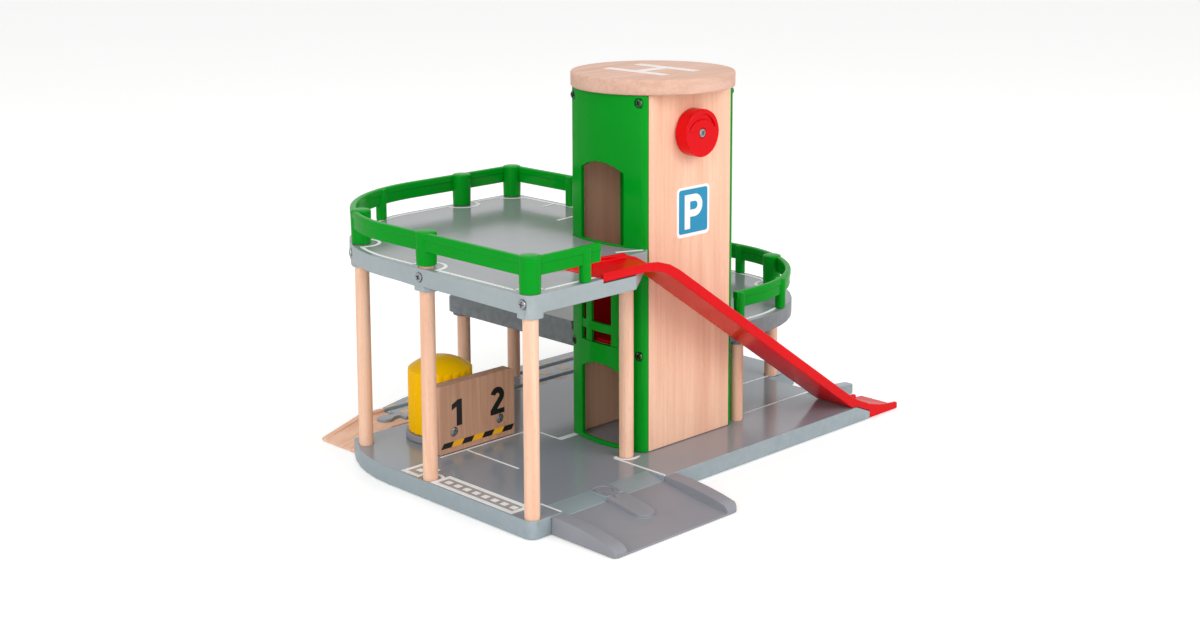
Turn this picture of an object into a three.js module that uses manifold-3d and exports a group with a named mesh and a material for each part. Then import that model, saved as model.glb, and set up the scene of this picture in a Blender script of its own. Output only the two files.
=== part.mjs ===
// Toy parking garage with a hand-wound lift: a road base, two decks on wooden posts with
// railings, a tower with a lift cab inside, a slide, a number wall, a tank, an entry ramp
// and a wooden track ramp. Lengths are in millimetres. In the plan, x runs along the front
// edge, y runs away from the viewer and z is the height above the floor. Plan places are
// measured from the axis of the front left post. All pieces sit in one group that is shifted,
// so that the part's origin is the middle of the base plate's rectangle, on its underside.
import * as THREE from 'three';
import { mergeVertices } from 'three/addons/utils/BufferGeometryUtils.js';
import Module from 'manifold-3d';

const wasm = await Module();
wasm.setup();

// Driving dimensions shared by several pieces
const gap = 0.3;              // clearance between pieces that touch
const overrun = 2;            // how far a cutting tool runs past the face that it cuts
const postRadius = 5;
const edgeInset = 6.6;        // from a post's axis to the edge of the plate that it holds
const smallCorner = 6;        // plan radius of the plates' square corners
const slightCorner = 3;       // the same where an edge turns less
const sweepRadius = 110.5;    // plan radius of the big round corner of the base and top deck
const midSweepRadius = 100;   // the same of the middle deck
const sweepPostInset = 7.4;   // from the edge to the post in the big round corner
const plateThickness = 12;    // base plate and both decks
const skin = 2.6;             // wall of the hollow plates
const ribWidth = 2;
const lugRadius = 8.2;        // round lug of a deck or base plate at a post
const postClearance = 0.3;    // radial

// Base plate
const baseLength = 374.6;
const baseDepth = 260.6;
const baseFrontLength = 338.6;   // the front stretch ends short of the back one
const notchDepth = 95;           // how far back the front right notch reaches
const bayLength = 76.6;          // plan length of the back left bay for the wooden track
const bayFront = 209.6;          // distance of that bay from the front edge
const taperLength = 30;          // the back edge tapers to the track's width over this
const trackCentre = 231.1;       // track's centre line from the front edge
const trackWidth = 40;
const grooveGauge = 26;
const grooveWidth = 6;
const grooveDepth = 2.4;

// Heights of the decks' top faces above the base plate's top face
const topDeckRise = 144;
const midDeckRise = 73.5;

// Plan of the decks
const topDeckLength = 214.6;
const topDeckSetback = 5;         // the decks' back edge in front of the base plate's
const topDeckDepth = baseDepth - topDeckSetback;
const topDeckFrontLength = 92.6;  // where the front edge turns to the tower
const midDeckLeft = 138;
const midDeckSetback = 11;        // the middle deck's right edge inside the base plate's
const midDeckRight = baseLength - edgeInset - midDeckSetback;
const midDeckFront = 33.6;
const midKerbHeight = 6;
const midKerbWidth = 5;

// Tower
const towerX = 181;
const towerY = 70;
const towerHalfDepth = 36.5;
const towerHalfWidth = 53;       // to the crown of the bulged side
const towerSideRadius = 90;      // plan radius of the bulged side
const towerCorner = 6;
const towerHeight = 248.7;       // above the base plate's top face
const woodHalfWidth = 41.4;
const woodThickness = 8;
const shellWall = 3.2;
const doorWidth = 41;
const doorHeight = 56;
const doorRise = 6.2;            // rise of the door's arched head
const sillHeight = 2.6;
const barWidth = 6.5;            // bars of the closed middle door
const barDepth = 2.4;
const paneHalf = 9.5;            // half the width of the middle pane
const paneHeight = 8;            // of the lowest panes
const sillStep = 1;
const shellScrewDrop = 5;        // below the middle deck's top and the tower's top
const shellScrewSeat = 7.6;      // seat of a screw head, from the crown of the side
const roofRadius = 57.7;
const roofThickness = 11;
const roofEdge = 1.2;
const spigotDepth = 4;

// Lift
const cabWall = 2.2;
const cabHeight = 58.5;
const cabClearance = 0.7;
const cabFloor = 2.4;
const guideWidth = 8;
const guideDepth = 3;
const runnerWidth = 2;
const eyeRadius = 2;
const eyeWire = 0.8;
const spindleRise = 220;         // spindle axis above the base plate's top face
const spindleRadius = 3;
const drumRadius = 8;
const drumFlangeRadius = 11.5;
const drumFlange = 1.6;
const drumWidth = 16;
const bushRadius = 5.4;
const bushFlangeRadius = 8;
const bushFlange = 1.4;
const runningGap = 0.25;
const collarRadius = 6;
const collarWidth = 4;
const knobRadius = 16.7;
const knobLength = 10.5;
const knobFace = 3.4;            // thickness of the knob's face plate
const knobHubRadius = 5.6;
const knobRim = 3;               // wall between the knob's cavity or crescent and its edge
const scallopCount = 8;
const scallopDepth = 0.7;
const crescentDepth = 1.6;
const crescentShift = 6;

// Railings
const railInset = 1;
const railThickness = 4.4;
const railTop = 23.4;            // above the deck
const railBottom = 11.2;
const stubHeight = 15;           // how far a post stands up inside a railing's sleeve
const sleeveRadius = 7.1;
const sleeveCap = 0.8;
const thinPostRadius = 3.9;
const railLift = 1.2;            // one sleeve stands off the deck and bares its post
const railRim = 5;               // height of the thicker top rim
const railStep = 1.2;            // how much thicker it is
const topRailStart = 55.5;       // front end of the top deck's railing
const topStemX = 43.3;           // its first thin post
const midRailStart = 232.6;      // the same of the middle deck's railing
const midStemX = 237;

// Slide
const slideStart = 57;
const slideCrest = 114.5;
const slideFoot = 336.5;
const slideEnd = 373;
const slideFront = -6.3;
const slideWidth = 34.6;
const slideRimRise = 3.4;        // rim above the top deck
const slideEndRim = 5;
const slideFootRim = 7.8;
const slideWall = 3;
const slideFloor = 2.5;          // floor's thickness on the deck
const slideFloorFoot = 341.6;    // where the sloping floor meets the level one
const slideSink = 2.3;           // how deep the mouth is let into the top deck
const slideDepth = 8.6;          // upright depth of the sloping channel
const slideRimDepth = 5.6;       // upright height of its rims above the floor
const crestRadius = 54;
const footRadius = 110;
const backRimEnd = 363;          // the far rim stops short of the lip
const mouthWidth = 50;
const mouthLength = 52;
const bevelLength = 16;          // the base plate's bevel under the slide
const bevelDrop = 6.6;
const landingWidth = 47.6;
const landingReach = 6;          // how far the bevelled end runs past the plate's end
const armLength = 43;
const armWidth = 9;
const armTip = 7;

// Number wall, tank, ramp and track ramp
const wallLeft = 32;
const wallLength = 69;
const wallFront = 129;
const wallThickness = 9.6;
const wallHeight = 49;
const wallScrewRise = 14.4;
const wallScrewInset = 13.5;
const anchorWidth = 9;
const anchorDepth = 4.5;
const anchorHeight = 20;
const tankX = 63;
const tankY = 165.5;
const tankRadius = 23;
const tankHeight = 44.5;
const tankDome = 8.5;
const fluteCount = 22;
const fluteDepth = 0.9;
const tankWall = 2.4;
const pedestalRadius = 25;
const pedestalHeight = 5;
const spigotHeight = 3;          // the pedestal's spigot inside the tank
const rampLeft = 10;
const rampWidth = 113;
const rampLength = 56.2;
const kerbWidth = 10.5;
const kerbTip = 6;
const kerbBulge = 1.6;           // how far the kerb's top stands above a straight slope
const laneDrop = 3;              // lane below the plate's top at the joint
const laneEdge = 1.2;
const laneRun = 16;              // length of the lane's slope on the base plate
const medianWidth = 16;
const medianLength = 32;         // on the ramp, from the joint
const medianStep = 2.2;          // how far its rounded end stands above the lane
const kerbCorner = 3;            // plan radius of the ramp's front corners
const pegRadius = 6;
const pegNeck = 6.5;
const pegReach = 11;             // from the joint to the peg's centre
const trackLength = 54;
const trackRise = 2;             // thickness of the wooden ramp's thin end
const trackFlat = 20;
const trackRim = 5;
const trackRecess = 2;

// Screws
const screwRadius = 1.5;
const screwHole = 1.9;
const headRadius = 3;
const headHeight = 1.4;
const headClearance = 0.4;
const screwLength = 13;
const footScrewLength = 16;
const socketDepth = 6;
const footHeadDepth = 1;

// Worked-out heights and plan places
const baseTop = plateThickness;
const topDeckTop = baseTop + topDeckRise;
const topDeckBottom = topDeckTop - plateThickness;
const midDeckTop = baseTop + midDeckRise;
const midDeckBottom = midDeckTop - plateThickness;
const towerTop = baseTop + towerHeight;
const baseBack = baseDepth - edgeInset;
const baseRight = baseLength - edgeInset;
const frontRight = baseFrontLength - edgeInset;
const deckBack = topDeckDepth - edgeInset;
const deckRight = topDeckLength - edgeInset;
const towerFront = towerY - towerHalfDepth;
const towerBack = towerY + towerHalfDepth;
const lugDrop = 3.5;
const originX = baseLength / 2 - edgeInset;
const originY = baseDepth / 2 - edgeInset;

// Materials
const paint = (color, roughness, metalness = 0) =>
  new THREE.MeshStandardMaterial({ color, roughness, metalness });
const greyPlastic = () => paint(0x8b929b, 0.3);
const satinGrey = () => paint(0x8f8f99, 0.55);
const greenPlastic = () => paint(0x009928, 0.28);
const redPlastic = () => paint(0xe00a1e, 0.25);
const yellowPlastic = () => paint(0xffb800, 0.35);
const beech = () => paint(0xecc09c, 0.6);
const steel = () => paint(0xb8bcc0, 0.3, 0.9);
const whitePlastic = () => paint(0xe6e6e2, 0.4);

// Booleans: every solid is a three.js geometry, and only joins and cuts go through wasm
const toSolid = (geometry) => {
  const bare = geometry.clone();
  bare.deleteAttribute('normal');
  bare.deleteAttribute('uv');
  const merged = mergeVertices(bare, 1e-4);
  return new wasm.Manifold(new wasm.Mesh({
    numProp: 3,
    vertProperties: new Float32Array(merged.attributes.position.array),
    triVerts: new Uint32Array(merged.index.array),
  }));
};
const fromSolid = (solid) => {
  const mesh = solid.getMesh();
  const geometry = new THREE.BufferGeometry();
  const points = new Float32Array(mesh.numVert * 3);
  for (let i = 0; i < mesh.numVert; i += 1) {
    for (let k = 0; k < 3; k += 1) points[3 * i + k] = mesh.vertProperties[mesh.numProp * i + k];
  }
  geometry.setAttribute('position', new THREE.BufferAttribute(points, 3));
  geometry.setIndex(new THREE.BufferAttribute(new Uint32Array(mesh.triVerts), 1));
  geometry.computeVertexNormals();
  return geometry;
};
const join = (...pieces) => fromSolid(pieces.map(toSolid).reduce((a, b) => a.add(b)));
const cut = (body, ...tools) =>
  fromSolid(tools.map(toSolid).reduce((a, b) => a.subtract(b), toSolid(body)));
const overlapOf = (a, b) => fromSolid(toSolid(a).intersect(toSolid(b)));

// Outlines: lists of corners [x, y, radius]; a corner with a radius is rounded by an arc
const arcSteps = (radius, angle) => Math.max(2, Math.ceil(Math.abs(angle) * Math.sqrt(radius) * 0.65));
const rounded = (corners, closed = true) => {
  const points = [];
  corners.forEach(([x, y, radius = 0], i) => {
    const inner = closed || (i > 0 && i < corners.length - 1);
    if (!radius || !inner) {
      points.push(new THREE.Vector2(x, y));
      return;
    }
    const here = new THREE.Vector2(x, y);
    const before = corners[(i + corners.length - 1) % corners.length];
    const after = corners[(i + 1) % corners.length];
    const toBefore = new THREE.Vector2(before[0], before[1]).sub(here).normalize();
    const toAfter = new THREE.Vector2(after[0], after[1]).sub(here).normalize();
    const half = Math.acos(THREE.MathUtils.clamp(toBefore.dot(toAfter), -1, 1)) / 2;
    const reach = radius / Math.tan(half);
    const centre = here.clone().addScaledVector(
      toBefore.clone().add(toAfter).normalize(), radius / Math.sin(half));
    const from = here.clone().addScaledVector(toBefore, reach).sub(centre);
    const to = here.clone().addScaledVector(toAfter, reach).sub(centre);
    const sweep = Math.atan2(from.x * to.y - from.y * to.x, from.dot(to));
    const steps = arcSteps(radius, sweep);
    for (let k = 0; k <= steps; k += 1) {
      points.push(from.clone().rotateAround(new THREE.Vector2(), sweep * k / steps).add(centre));
    }
  });
  return points;
};
const arcPoints = (x, y, radius, start, end) => {
  const steps = arcSteps(radius, end - start);
  return Array.from({ length: steps + 1 }, (_, k) => {
    const angle = start + (end - start) * k / steps;
    return [x + radius * Math.cos(angle), y + radius * Math.sin(angle)];
  });
};
// Moves every edge of a counter-clockwise outline inward
const insetOutline = (points, distance) => points.map((point, i) => {
  const before = points[(i + points.length - 1) % points.length];
  const after = points[(i + 1) % points.length];
  const a = point.clone().sub(before).normalize();
  const b = after.clone().sub(point).normalize();
  const normalA = new THREE.Vector2(-a.y, a.x);
  const normalB = new THREE.Vector2(-b.y, b.x);
  const mitre = normalA.clone().add(normalB);
  return point.clone().addScaledVector(mitre, distance / (1 + normalA.dot(normalB)));
});

// Solids: an outline raised along an axis, and rods
const alongZ = (points, bottom, top) =>
  new THREE.ExtrudeGeometry(new THREE.Shape(points), { depth: top - bottom, bevelEnabled: false })
    .translate(0, 0, bottom);
const alongY = (points, front, back) =>
  new THREE.ExtrudeGeometry(new THREE.Shape(points), { depth: back - front, bevelEnabled: false })
    .rotateX(Math.PI / 2).translate(0, back, 0);
const alongX = (points, left, right) =>
  new THREE.ExtrudeGeometry(new THREE.Shape(points), { depth: right - left, bevelEnabled: false })
    .applyMatrix4(new THREE.Matrix4().makeBasis(
      new THREE.Vector3(0, 1, 0), new THREE.Vector3(0, 0, 1), new THREE.Vector3(1, 0, 0)))
    .translate(left, 0, 0);
const block = (x0, x1, y0, y1, z0, z1) =>
  new THREE.BoxGeometry(x1 - x0, y1 - y0, z1 - z0)
    .translate((x0 + x1) / 2, (y0 + y1) / 2, (z0 + z1) / 2);
const rodZ = (x, y, radius, bottom, top, sides = 14) =>
  new THREE.CylinderGeometry(radius, radius, top - bottom, sides)
    .rotateX(Math.PI / 2).translate(x, y, (bottom + top) / 2);
const rodY = (x, z, radius, front, back, sides = 16) =>
  new THREE.CylinderGeometry(radius, radius, back - front, sides)
    .translate(x, (front + back) / 2, z);
const rodX = (y, z, radius, left, right, sides = 16) =>
  new THREE.CylinderGeometry(radius, radius, right - left, sides)
    .rotateZ(Math.PI / 2).translate((left + right) / 2, y, z);
const square = (x0, x1, y0, y1) => rounded([[x0, y0], [x1, y0], [x1, y1], [x0, y1]]);

const garage = new THREE.Group();
const plan = new THREE.Group();
plan.position.set(-originX, -originY, 0);
garage.add(plan);
const addPart = (name, geometry, material, parent = plan) => {
  const mesh = new THREE.Mesh(geometry, material);
  mesh.name = name;
  parent.add(mesh);
  return mesh;
};

// Posts: plan place, height of the top end, distance to the plate's edge, and for each deck
// that is screwed to the post the direction of its screw
const degrees = Math.PI / 180;
const leftSweepX = sweepRadius - edgeInset;
const leftSweepY = deckBack - sweepRadius;
const rightSweepX = midDeckRight - midSweepRadius;
const rightSweepY = midDeckFront + midSweepRadius;
const leftSweepAngle = 151.7 * degrees;
const rightSweepAngle = -25 * degrees;
const backRow = deckBack - edgeInset;
const towerPostReach = 57;             // from the tower's middle to the posts beside it
const towerPostY = 40;
const sidePostY = 100;
const backPostX = 150;
const sweepPostX = leftSweepX + (sweepRadius - sweepPostInset) * Math.cos(leftSweepAngle);
const sweepPostY = leftSweepY + (sweepRadius - sweepPostInset) * Math.sin(leftSweepAngle);
const rightPostX = rightSweepX + (midSweepRadius - edgeInset) * Math.cos(rightSweepAngle);
const rightPostY = rightSweepY + (midSweepRadius - edgeInset) * Math.sin(rightSweepAngle);
const farRight = midDeckRight - edgeInset;
const topEnd = topDeckTop + stubHeight;
const midEnd = midDeckTop + stubHeight;
const underTop = topDeckBottom + socketDepth;
const underMid = midDeckBottom + socketDepth;
const west = Math.PI;
const north = Math.PI / 2;
const posts = [
  { name: 'post_front_left', x: 0, y: 0, top: topEnd, screws: { top: west } },
  { name: 'post_side_left', x: 0, y: sidePostY, top: topEnd, screws: { top: west } },
  { name: 'post_sweep_left', x: sweepPostX, y: sweepPostY, top: topEnd, edge: sweepPostInset,
    screws: { top: leftSweepAngle } },
  { name: 'post_tower_left', x: towerX - towerPostReach, y: towerPostY, top: underTop, screws: {} },
  { name: 'post_back_middle', x: backPostX, y: backRow, top: topEnd,
    screws: { top: north, mid: north } },
  { name: 'post_back_corner', x: deckRight - edgeInset, y: backRow, top: topEnd,
    screws: { top: north, mid: north } },
  { name: 'post_tower_right', x: towerX + towerPostReach, y: towerPostY, top: underMid, screws: {} },
  { name: 'post_sweep_right', x: rightPostX, y: rightPostY, top: midEnd,
    screws: { mid: rightSweepAngle } },
  { name: 'post_far_right', x: farRight, y: backRow, top: midEnd, screws: { mid: north } },
];
const deckMiddle = { top: topDeckBottom + plateThickness / 2, mid: midDeckBottom + plateThickness / 2 };
// A rod that points outward through a deck's edge, measured from the post's axis
const edgeRod = (post, deck, radius, from, to, sides) =>
  rodX(0, 0, radius, from, to, sides).rotateZ(post.screws[deck])
    .translate(post.x, post.y, deckMiddle[deck]);
const edgeOf = (post) => post.edge ?? edgeInset;
const headFloor = (post) => edgeOf(post) - headClearance;
const screwedTo = (deck) => posts.filter((post) => deck in post.screws);
const edgeScrewBores = (deck) => screwedTo(deck).flatMap((post) => [
  edgeRod(post, deck, screwHole, 0, edgeOf(post) + overrun, 8),
  edgeRod(post, deck, headRadius + headClearance, headFloor(post) - gap, edgeOf(post) + overrun, 12),
]);
const edgeScrew = (post, deck) => join(
  edgeRod(post, deck, screwRadius, -postRadius / 2, headFloor(post) + headHeight / 2, 6),
  edgeRod(post, deck, headRadius, headFloor(post), headFloor(post) + headHeight, 10));
const footBottom = baseTop - socketDepth;
for (const post of posts) {
  const holes = Object.keys(post.screws).map((deck) =>
    edgeRod(post, deck, screwHole, -postRadius / 2 - gap, postRadius + overrun, 8));
  const dowel = rodZ(post.x, post.y, postRadius, footBottom + gap, post.top - gap);
  addPart(post.name, holes.length ? cut(dowel, ...holes) : dowel, beech());
  for (const deck of Object.keys(post.screws)) {
    addPart(`screw_${deck}_${post.name}`, edgeScrew(post, deck), steel());
  }
}

// Tower outline, counter-clockwise, with bulged sides
const sideCentre = towerHalfWidth - towerSideRadius;
const sideAngle = Math.asin(towerHalfDepth / towerSideRadius);
const towerOutline = (() => {
  const side = arcPoints(sideCentre, 0, towerSideRadius, -sideAngle, sideAngle);
  const corners = side.map(([x, y], i) =>
    (i === 0 || i === side.length - 1 ? [x, y, towerCorner] : [x, y]));
  const right = corners.map(([x, y, r]) => [towerX + x, towerY + y, r]);
  const left = corners.map(([x, y, r]) => [towerX - x, towerY - y, r]);
  return rounded([...right, ...left]);
})();
const towerPrism = (distance, bottom, top) =>
  alongZ(insetOutline(towerOutline, distance), bottom, top);

// Base plate: outline, hollow underside with ribs and post lugs, track grooves, entry lane
const sweepMeet = leftSweepX - Math.sqrt(
  sweepRadius ** 2 - (bayFront - edgeInset - leftSweepY) ** 2);
const bayAngle = Math.PI - Math.asin((bayFront - edgeInset - leftSweepY) / sweepRadius);
const bayRight = bayLength - edgeInset;
const bayY = bayFront - edgeInset;
const trackY = trackCentre - edgeInset;
const trackBack = trackY + trackWidth / 2;
const baseOutline = rounded([
  [-edgeInset, -edgeInset, smallCorner],
  [frontRight, -edgeInset],
  [frontRight, notchDepth - edgeInset, slightCorner],
  [baseRight, notchDepth - edgeInset, smallCorner],
  [baseRight, baseBack, smallCorner],
  [bayRight + taperLength, baseBack, sweepRadius / 4],
  [bayRight, trackBack, slightCorner],
  [bayRight, bayY],
  [sweepMeet, bayY],
  ...arcPoints(leftSweepX, leftSweepY, sweepRadius, bayAngle, Math.PI).slice(1),
]);
const ribs = (x0, x1, y0, y1, countX, countY, bottom, top) => [
  ...Array.from({ length: countX }, (_, i) => x0 + (x1 - x0) * (i + 1) / (countX + 1))
    .map((x) => block(x - ribWidth / 2, x + ribWidth / 2, y0, y1, bottom, top)),
  ...Array.from({ length: countY }, (_, i) => y0 + (y1 - y0) * (i + 1) / (countY + 1))
    .map((y) => block(x0, x1, y - ribWidth / 2, y + ribWidth / 2, bottom, top)),
];
const baseSkin = skin + grooveDepth;
const basePocketTop = baseTop - baseSkin;
const pegX = bayRight - pegReach;
const rampMiddle = rampLeft + rampWidth / 2;
const pegY = pegReach - edgeInset;
const armY = landingWidth - edgeInset;
const wallScrewXs = [wallLeft + wallScrewInset, wallLeft + wallLength - wallScrewInset];
const anchorFront = wallFront + wallThickness + gap;
const footPlaces = {
  front_wall: [towerX, towerFront + woodThickness / 2],
  back_wall: [towerX, towerBack - woodThickness / 2],
  pedestal: [tankX, tankY],
};
const lugPlaces = [...posts.map((post) => [post.x, post.y]), ...Object.values(footPlaces),
  [originX, originY]];
const basePlate = (() => {
  const pocketOutline = insetOutline(baseOutline, skin);
  const pocket = cut(
    alongZ(pocketOutline, -overrun, basePocketTop),
    ...lugPlaces.map(([x, y]) => rodZ(x, y, lugRadius, -overrun * 2, baseTop)),
    ...ribs(-edgeInset, baseRight, -edgeInset, baseBack, 3, 1, -overrun * 2, baseTop),
    block(rampLeft, rampLeft + rampWidth, -edgeInset - overrun, laneRun + skin, -overrun * 2, baseTop),
    block(frontRight - bevelLength - skin, frontRight + overrun, -edgeInset - overrun,
      armY + armWidth + skin, -overrun * 2, baseTop));
  const laneLeft = rampLeft + kerbWidth;
  const laneRight = rampLeft + rampWidth - kerbWidth;
  const medianLeft = rampMiddle - medianWidth / 2;
  const medianRight = rampMiddle + medianWidth / 2;
  const lane = (x0, x1) => alongX(rounded([
    [-edgeInset - overrun, baseTop - laneDrop - laneDrop * overrun / laneRun],
    [laneRun - edgeInset, baseTop],
    [laneRun - edgeInset, baseTop + overrun],
    [-edgeInset - overrun, baseTop + overrun]]), x0, x1);
  const socket = join(
    rodZ(rampMiddle, pegY, pegRadius + gap, -overrun, baseTop + overrun, 20),
    block(rampMiddle - pegNeck / 2 - gap, rampMiddle + pegNeck / 2 + gap,
      -edgeInset - overrun, pegY, -overrun, baseTop + overrun));
  const peg = join(
    rodZ(pegX, trackY, pegRadius, 0, baseTop, 20),
    block(pegX, bayRight + overrun, trackY - pegNeck / 2, trackY + pegNeck / 2, 0, baseTop));
  const bevelStart = frontRight + landingReach - bevelLength;
  const landing = alongY(rounded([
    [bevelStart - skin, 0], [frontRight + landingReach, 0],
    [frontRight + landingReach, baseTop - bevelDrop], [bevelStart, baseTop],
    [bevelStart - skin, baseTop]]), -edgeInset, armY);
  const bevelCut = alongY(rounded([
    [bevelStart, baseTop], [frontRight + landingReach, baseTop - bevelDrop],
    [frontRight + landingReach, baseTop + overrun], [bevelStart, baseTop + overrun],
  ]), -edgeInset - overrun, armY);
  const arm = alongZ(rounded([
    [frontRight - skin, armY], [frontRight + armLength + landingReach, armY, armWidth / 3],
    [frontRight + armLength + landingReach, armY + armWidth, armWidth / 3],
    [frontRight - skin, armY + armWidth]]), 0, baseTop);
  const armCut = alongY(rounded([
    [frontRight, baseTop], [frontRight + armLength + landingReach + overrun, armTip],
    [frontRight + armLength + landingReach + overrun, baseTop + overrun],
    [frontRight, baseTop + overrun]]), armY - overrun, armY + armWidth + overrun);
  const grooves = [-1, 1].map((side) => {
    const y = trackY + side * grooveGauge / 2;
    return block(bayRight - overrun, baseRight + overrun,
      y - grooveWidth / 2, y + grooveWidth / 2, baseTop - grooveDepth, baseTop + overrun);
  });
  const anchors = wallScrewXs.map((x) => cut(
    block(x - anchorWidth / 2, x + anchorWidth / 2, anchorFront, anchorFront + anchorDepth,
      baseTop - skin, baseTop + anchorHeight),
    rodY(x, baseTop + wallScrewRise, screwHole, anchorFront - overrun,
      anchorFront + anchorDepth - ribWidth / 2, 8)));
  const sockets = posts.map((post) =>
    rodZ(post.x, post.y, postRadius + postClearance, footBottom, baseTop + overrun));
  const footHoles = Object.values(footPlaces).flatMap(([x, y]) => [
    rodZ(x, y, screwHole, -overrun, baseTop + overrun, 8),
    rodZ(x, y, headRadius + headClearance, -overrun, footHeadDepth + headHeight + gap, 12)]);
  return cut(
    join(cut(alongZ(baseOutline, 0, baseTop), pocket, bevelCut), landing, cut(arm, armCut), peg,
      ...anchors),
    lane(laneLeft, medianLeft), lane(medianRight, laneRight), socket, ...grooves, ...sockets,
    ...footHoles);
})();
addPart('base_plate', basePlate, greyPlastic());

// Screws that come up from below into the tower's wooden walls and the pedestal
for (const [name, [x, y]] of Object.entries(footPlaces)) {
  addPart(`screw_under_${name}`, join(
    rodZ(x, y, headRadius, footHeadDepth, footHeadDepth + headHeight, 12),
    rodZ(x, y, screwRadius, footHeadDepth + headHeight / 2, footScrewLength, 8)), steel());
}

// Decks: hollow plates with ribs, lugs at the posts and a cut-out round the tower
const hollowDeck = (outline, bottom, deckPosts, solidZones) => {
  const top = bottom + plateThickness;
  const under = bottom - overrun * 2;
  const xs = outline.map((point) => point.x);
  const ys = outline.map((point) => point.y);
  const lug = (post) => overlapOf(
    rodZ(post.x, post.y, lugRadius, bottom - lugDrop, top),
    alongZ(outline, bottom - lugDrop - overrun, top));
  const pocket = cut(
    alongZ(insetOutline(outline, skin), bottom - overrun, top - skin),
    towerPrism(-gap - skin, under, top),
    ...deckPosts.map((post) => rodZ(post.x, post.y, lugRadius, under, top)),
    ...ribs(Math.min(...xs), Math.max(...xs), Math.min(...ys), Math.max(...ys), 2, 1, under, top),
    ...solidZones);
  return cut(
    join(cut(alongZ(outline, bottom, top), pocket), ...deckPosts.map(lug)),
    towerPrism(-gap, bottom - lugDrop - overrun, top + overrun));
};
const postBores = (deckPosts, bottom) => deckPosts.map((post) =>
  rodZ(post.x, post.y, postRadius + postClearance, bottom - lugDrop - overrun,
    Math.min(post.top, bottom + plateThickness + overrun)));

// Slide: side view of the channel, and the fan-shaped mouth let into the top deck
const slideBack = slideFront + slideWidth;
const rimStart = topDeckTop + slideRimRise;
const slideBed = topDeckTop - slideSink;
const mouthFloor = slideBed + slideFloor;
const slope = (rimStart - slideFootRim) / (slideFoot - slideCrest);
const slopeX = (height, drop) => slideCrest + (rimStart - drop - height) / slope;
const landingEnd = frontRight + landingReach;
const bevelX = landingEnd - bevelLength;
const bedPath = rounded([
  [slideStart, slideBed],
  [slopeX(slideBed, slideDepth), slideBed, crestRadius - slideDepth],
  [slopeX(baseTop + gap, slideDepth), baseTop + gap],
  [bevelX + gap, baseTop + gap],
  [landingEnd + gap, baseTop - bevelDrop + gap],
  [landingEnd + gap, 0],
  [slideEnd, 0],
], false);
const floorPath = rounded([
  [slideStart, mouthFloor],
  [slopeX(mouthFloor, slideRimDepth), mouthFloor, crestRadius - slideRimDepth],
  [slideFloorFoot, slideFloor, footRadius - slideDepth],
  [slideEnd, slideFloor],
], false);
const rimPath = rounded([
  [slideStart, rimStart],
  [slideCrest, rimStart, crestRadius],
  [slideFoot, slideFootRim, footRadius],
  [slideEnd, slideEndRim],
], false);
const between = (upper, lower) => [...lower, ...[...upper].reverse()];
const mouthEnd = slideStart + mouthLength;
const mouthTipY = slideFront + mouthWidth;
const mouthEdge = (shift) => new THREE.QuadraticBezierCurve(
  new THREE.Vector2(mouthEnd, slideBack + shift),
  new THREE.Vector2((slideStart + mouthEnd) / 2, slideBack + shift),
  new THREE.Vector2(slideStart, mouthTipY + shift)).getPoints(10);
const mouthPlan = (grow) => [
  new THREE.Vector2(slideStart - grow, slideFront - grow),
  new THREE.Vector2(mouthEnd, slideFront - grow),
  ...mouthEdge(grow),
  new THREE.Vector2(slideStart - grow, mouthTipY + grow)];
const backRim = cut(
  alongY(between(rimPath, bedPath), slideBack - slideWall, slideBack),
  block(slideStart - overrun, mouthEnd, slideBack - slideWall - overrun, slideBack + overrun,
    slideBed - overrun, rimStart + overrun),
  block(backRimEnd, slideEnd + overrun, slideBack - slideWall - overrun, slideBack + overrun,
    slideFloor, rimStart));
const mouthRim = alongZ(between(mouthEdge(0), mouthEdge(-slideWall)), slideBed, rimStart);
const slide = join(
  alongY(between(floorPath, bedPath), slideFront, slideBack),
  alongY(between(rimPath, bedPath), slideFront, slideFront + slideWall),
  backRim, mouthRim, alongZ(mouthPlan(0), slideBed, mouthFloor));
addPart('slide', slide, redPlastic());

// Top deck, with the notch that the slide passes through
const noseX = towerX - woodHalfWidth + towerCorner;
const topOutline = rounded([
  [-edgeInset, -edgeInset, smallCorner],
  [topDeckFrontLength - edgeInset, -edgeInset, slightCorner],
  [noseX, towerFront + towerCorner],
  [noseX, towerBack - towerCorner],
  [deckRight, towerBack - towerCorner],
  [deckRight, deckBack, smallCorner],
  ...arcPoints(leftSweepX, leftSweepY, sweepRadius, Math.PI / 2, Math.PI),
]);
const notchDrop = gap * 2;
const notchFloor = topDeckBottom - lugDrop - overrun;
const notchPath = rounded([
  [slideStart - gap, slideBed - notchDrop],
  [slopeX(slideBed, slideDepth), slideBed - notchDrop, crestRadius - slideDepth],
  [slopeX(notchFloor, slideDepth + notchDrop), notchFloor],
], false);
const notch = alongY([
  ...notchPath,
  new THREE.Vector2(slopeX(notchFloor, slideDepth), topDeckTop + overrun),
  new THREE.Vector2(slideStart - gap, topDeckTop + overrun),
], slideFront - overrun, slideBack + gap);
const mouthRecess = alongZ(mouthPlan(gap), slideBed - notchDrop, topDeckTop + overrun);
const mouthZone = block(slideStart - skin, noseX, -edgeInset - overrun, mouthTipY + skin,
  topDeckBottom - overrun * 2, topDeckTop);
const topPosts = posts.filter((post) => post.top > topDeckBottom);
const topDeck = cut(
  hollowDeck(topOutline, topDeckBottom, topPosts, [mouthZone]),
  notch, mouthRecess, ...postBores(topPosts, topDeckBottom), ...edgeScrewBores('top'));
addPart('top_deck', topDeck, greyPlastic());

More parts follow.
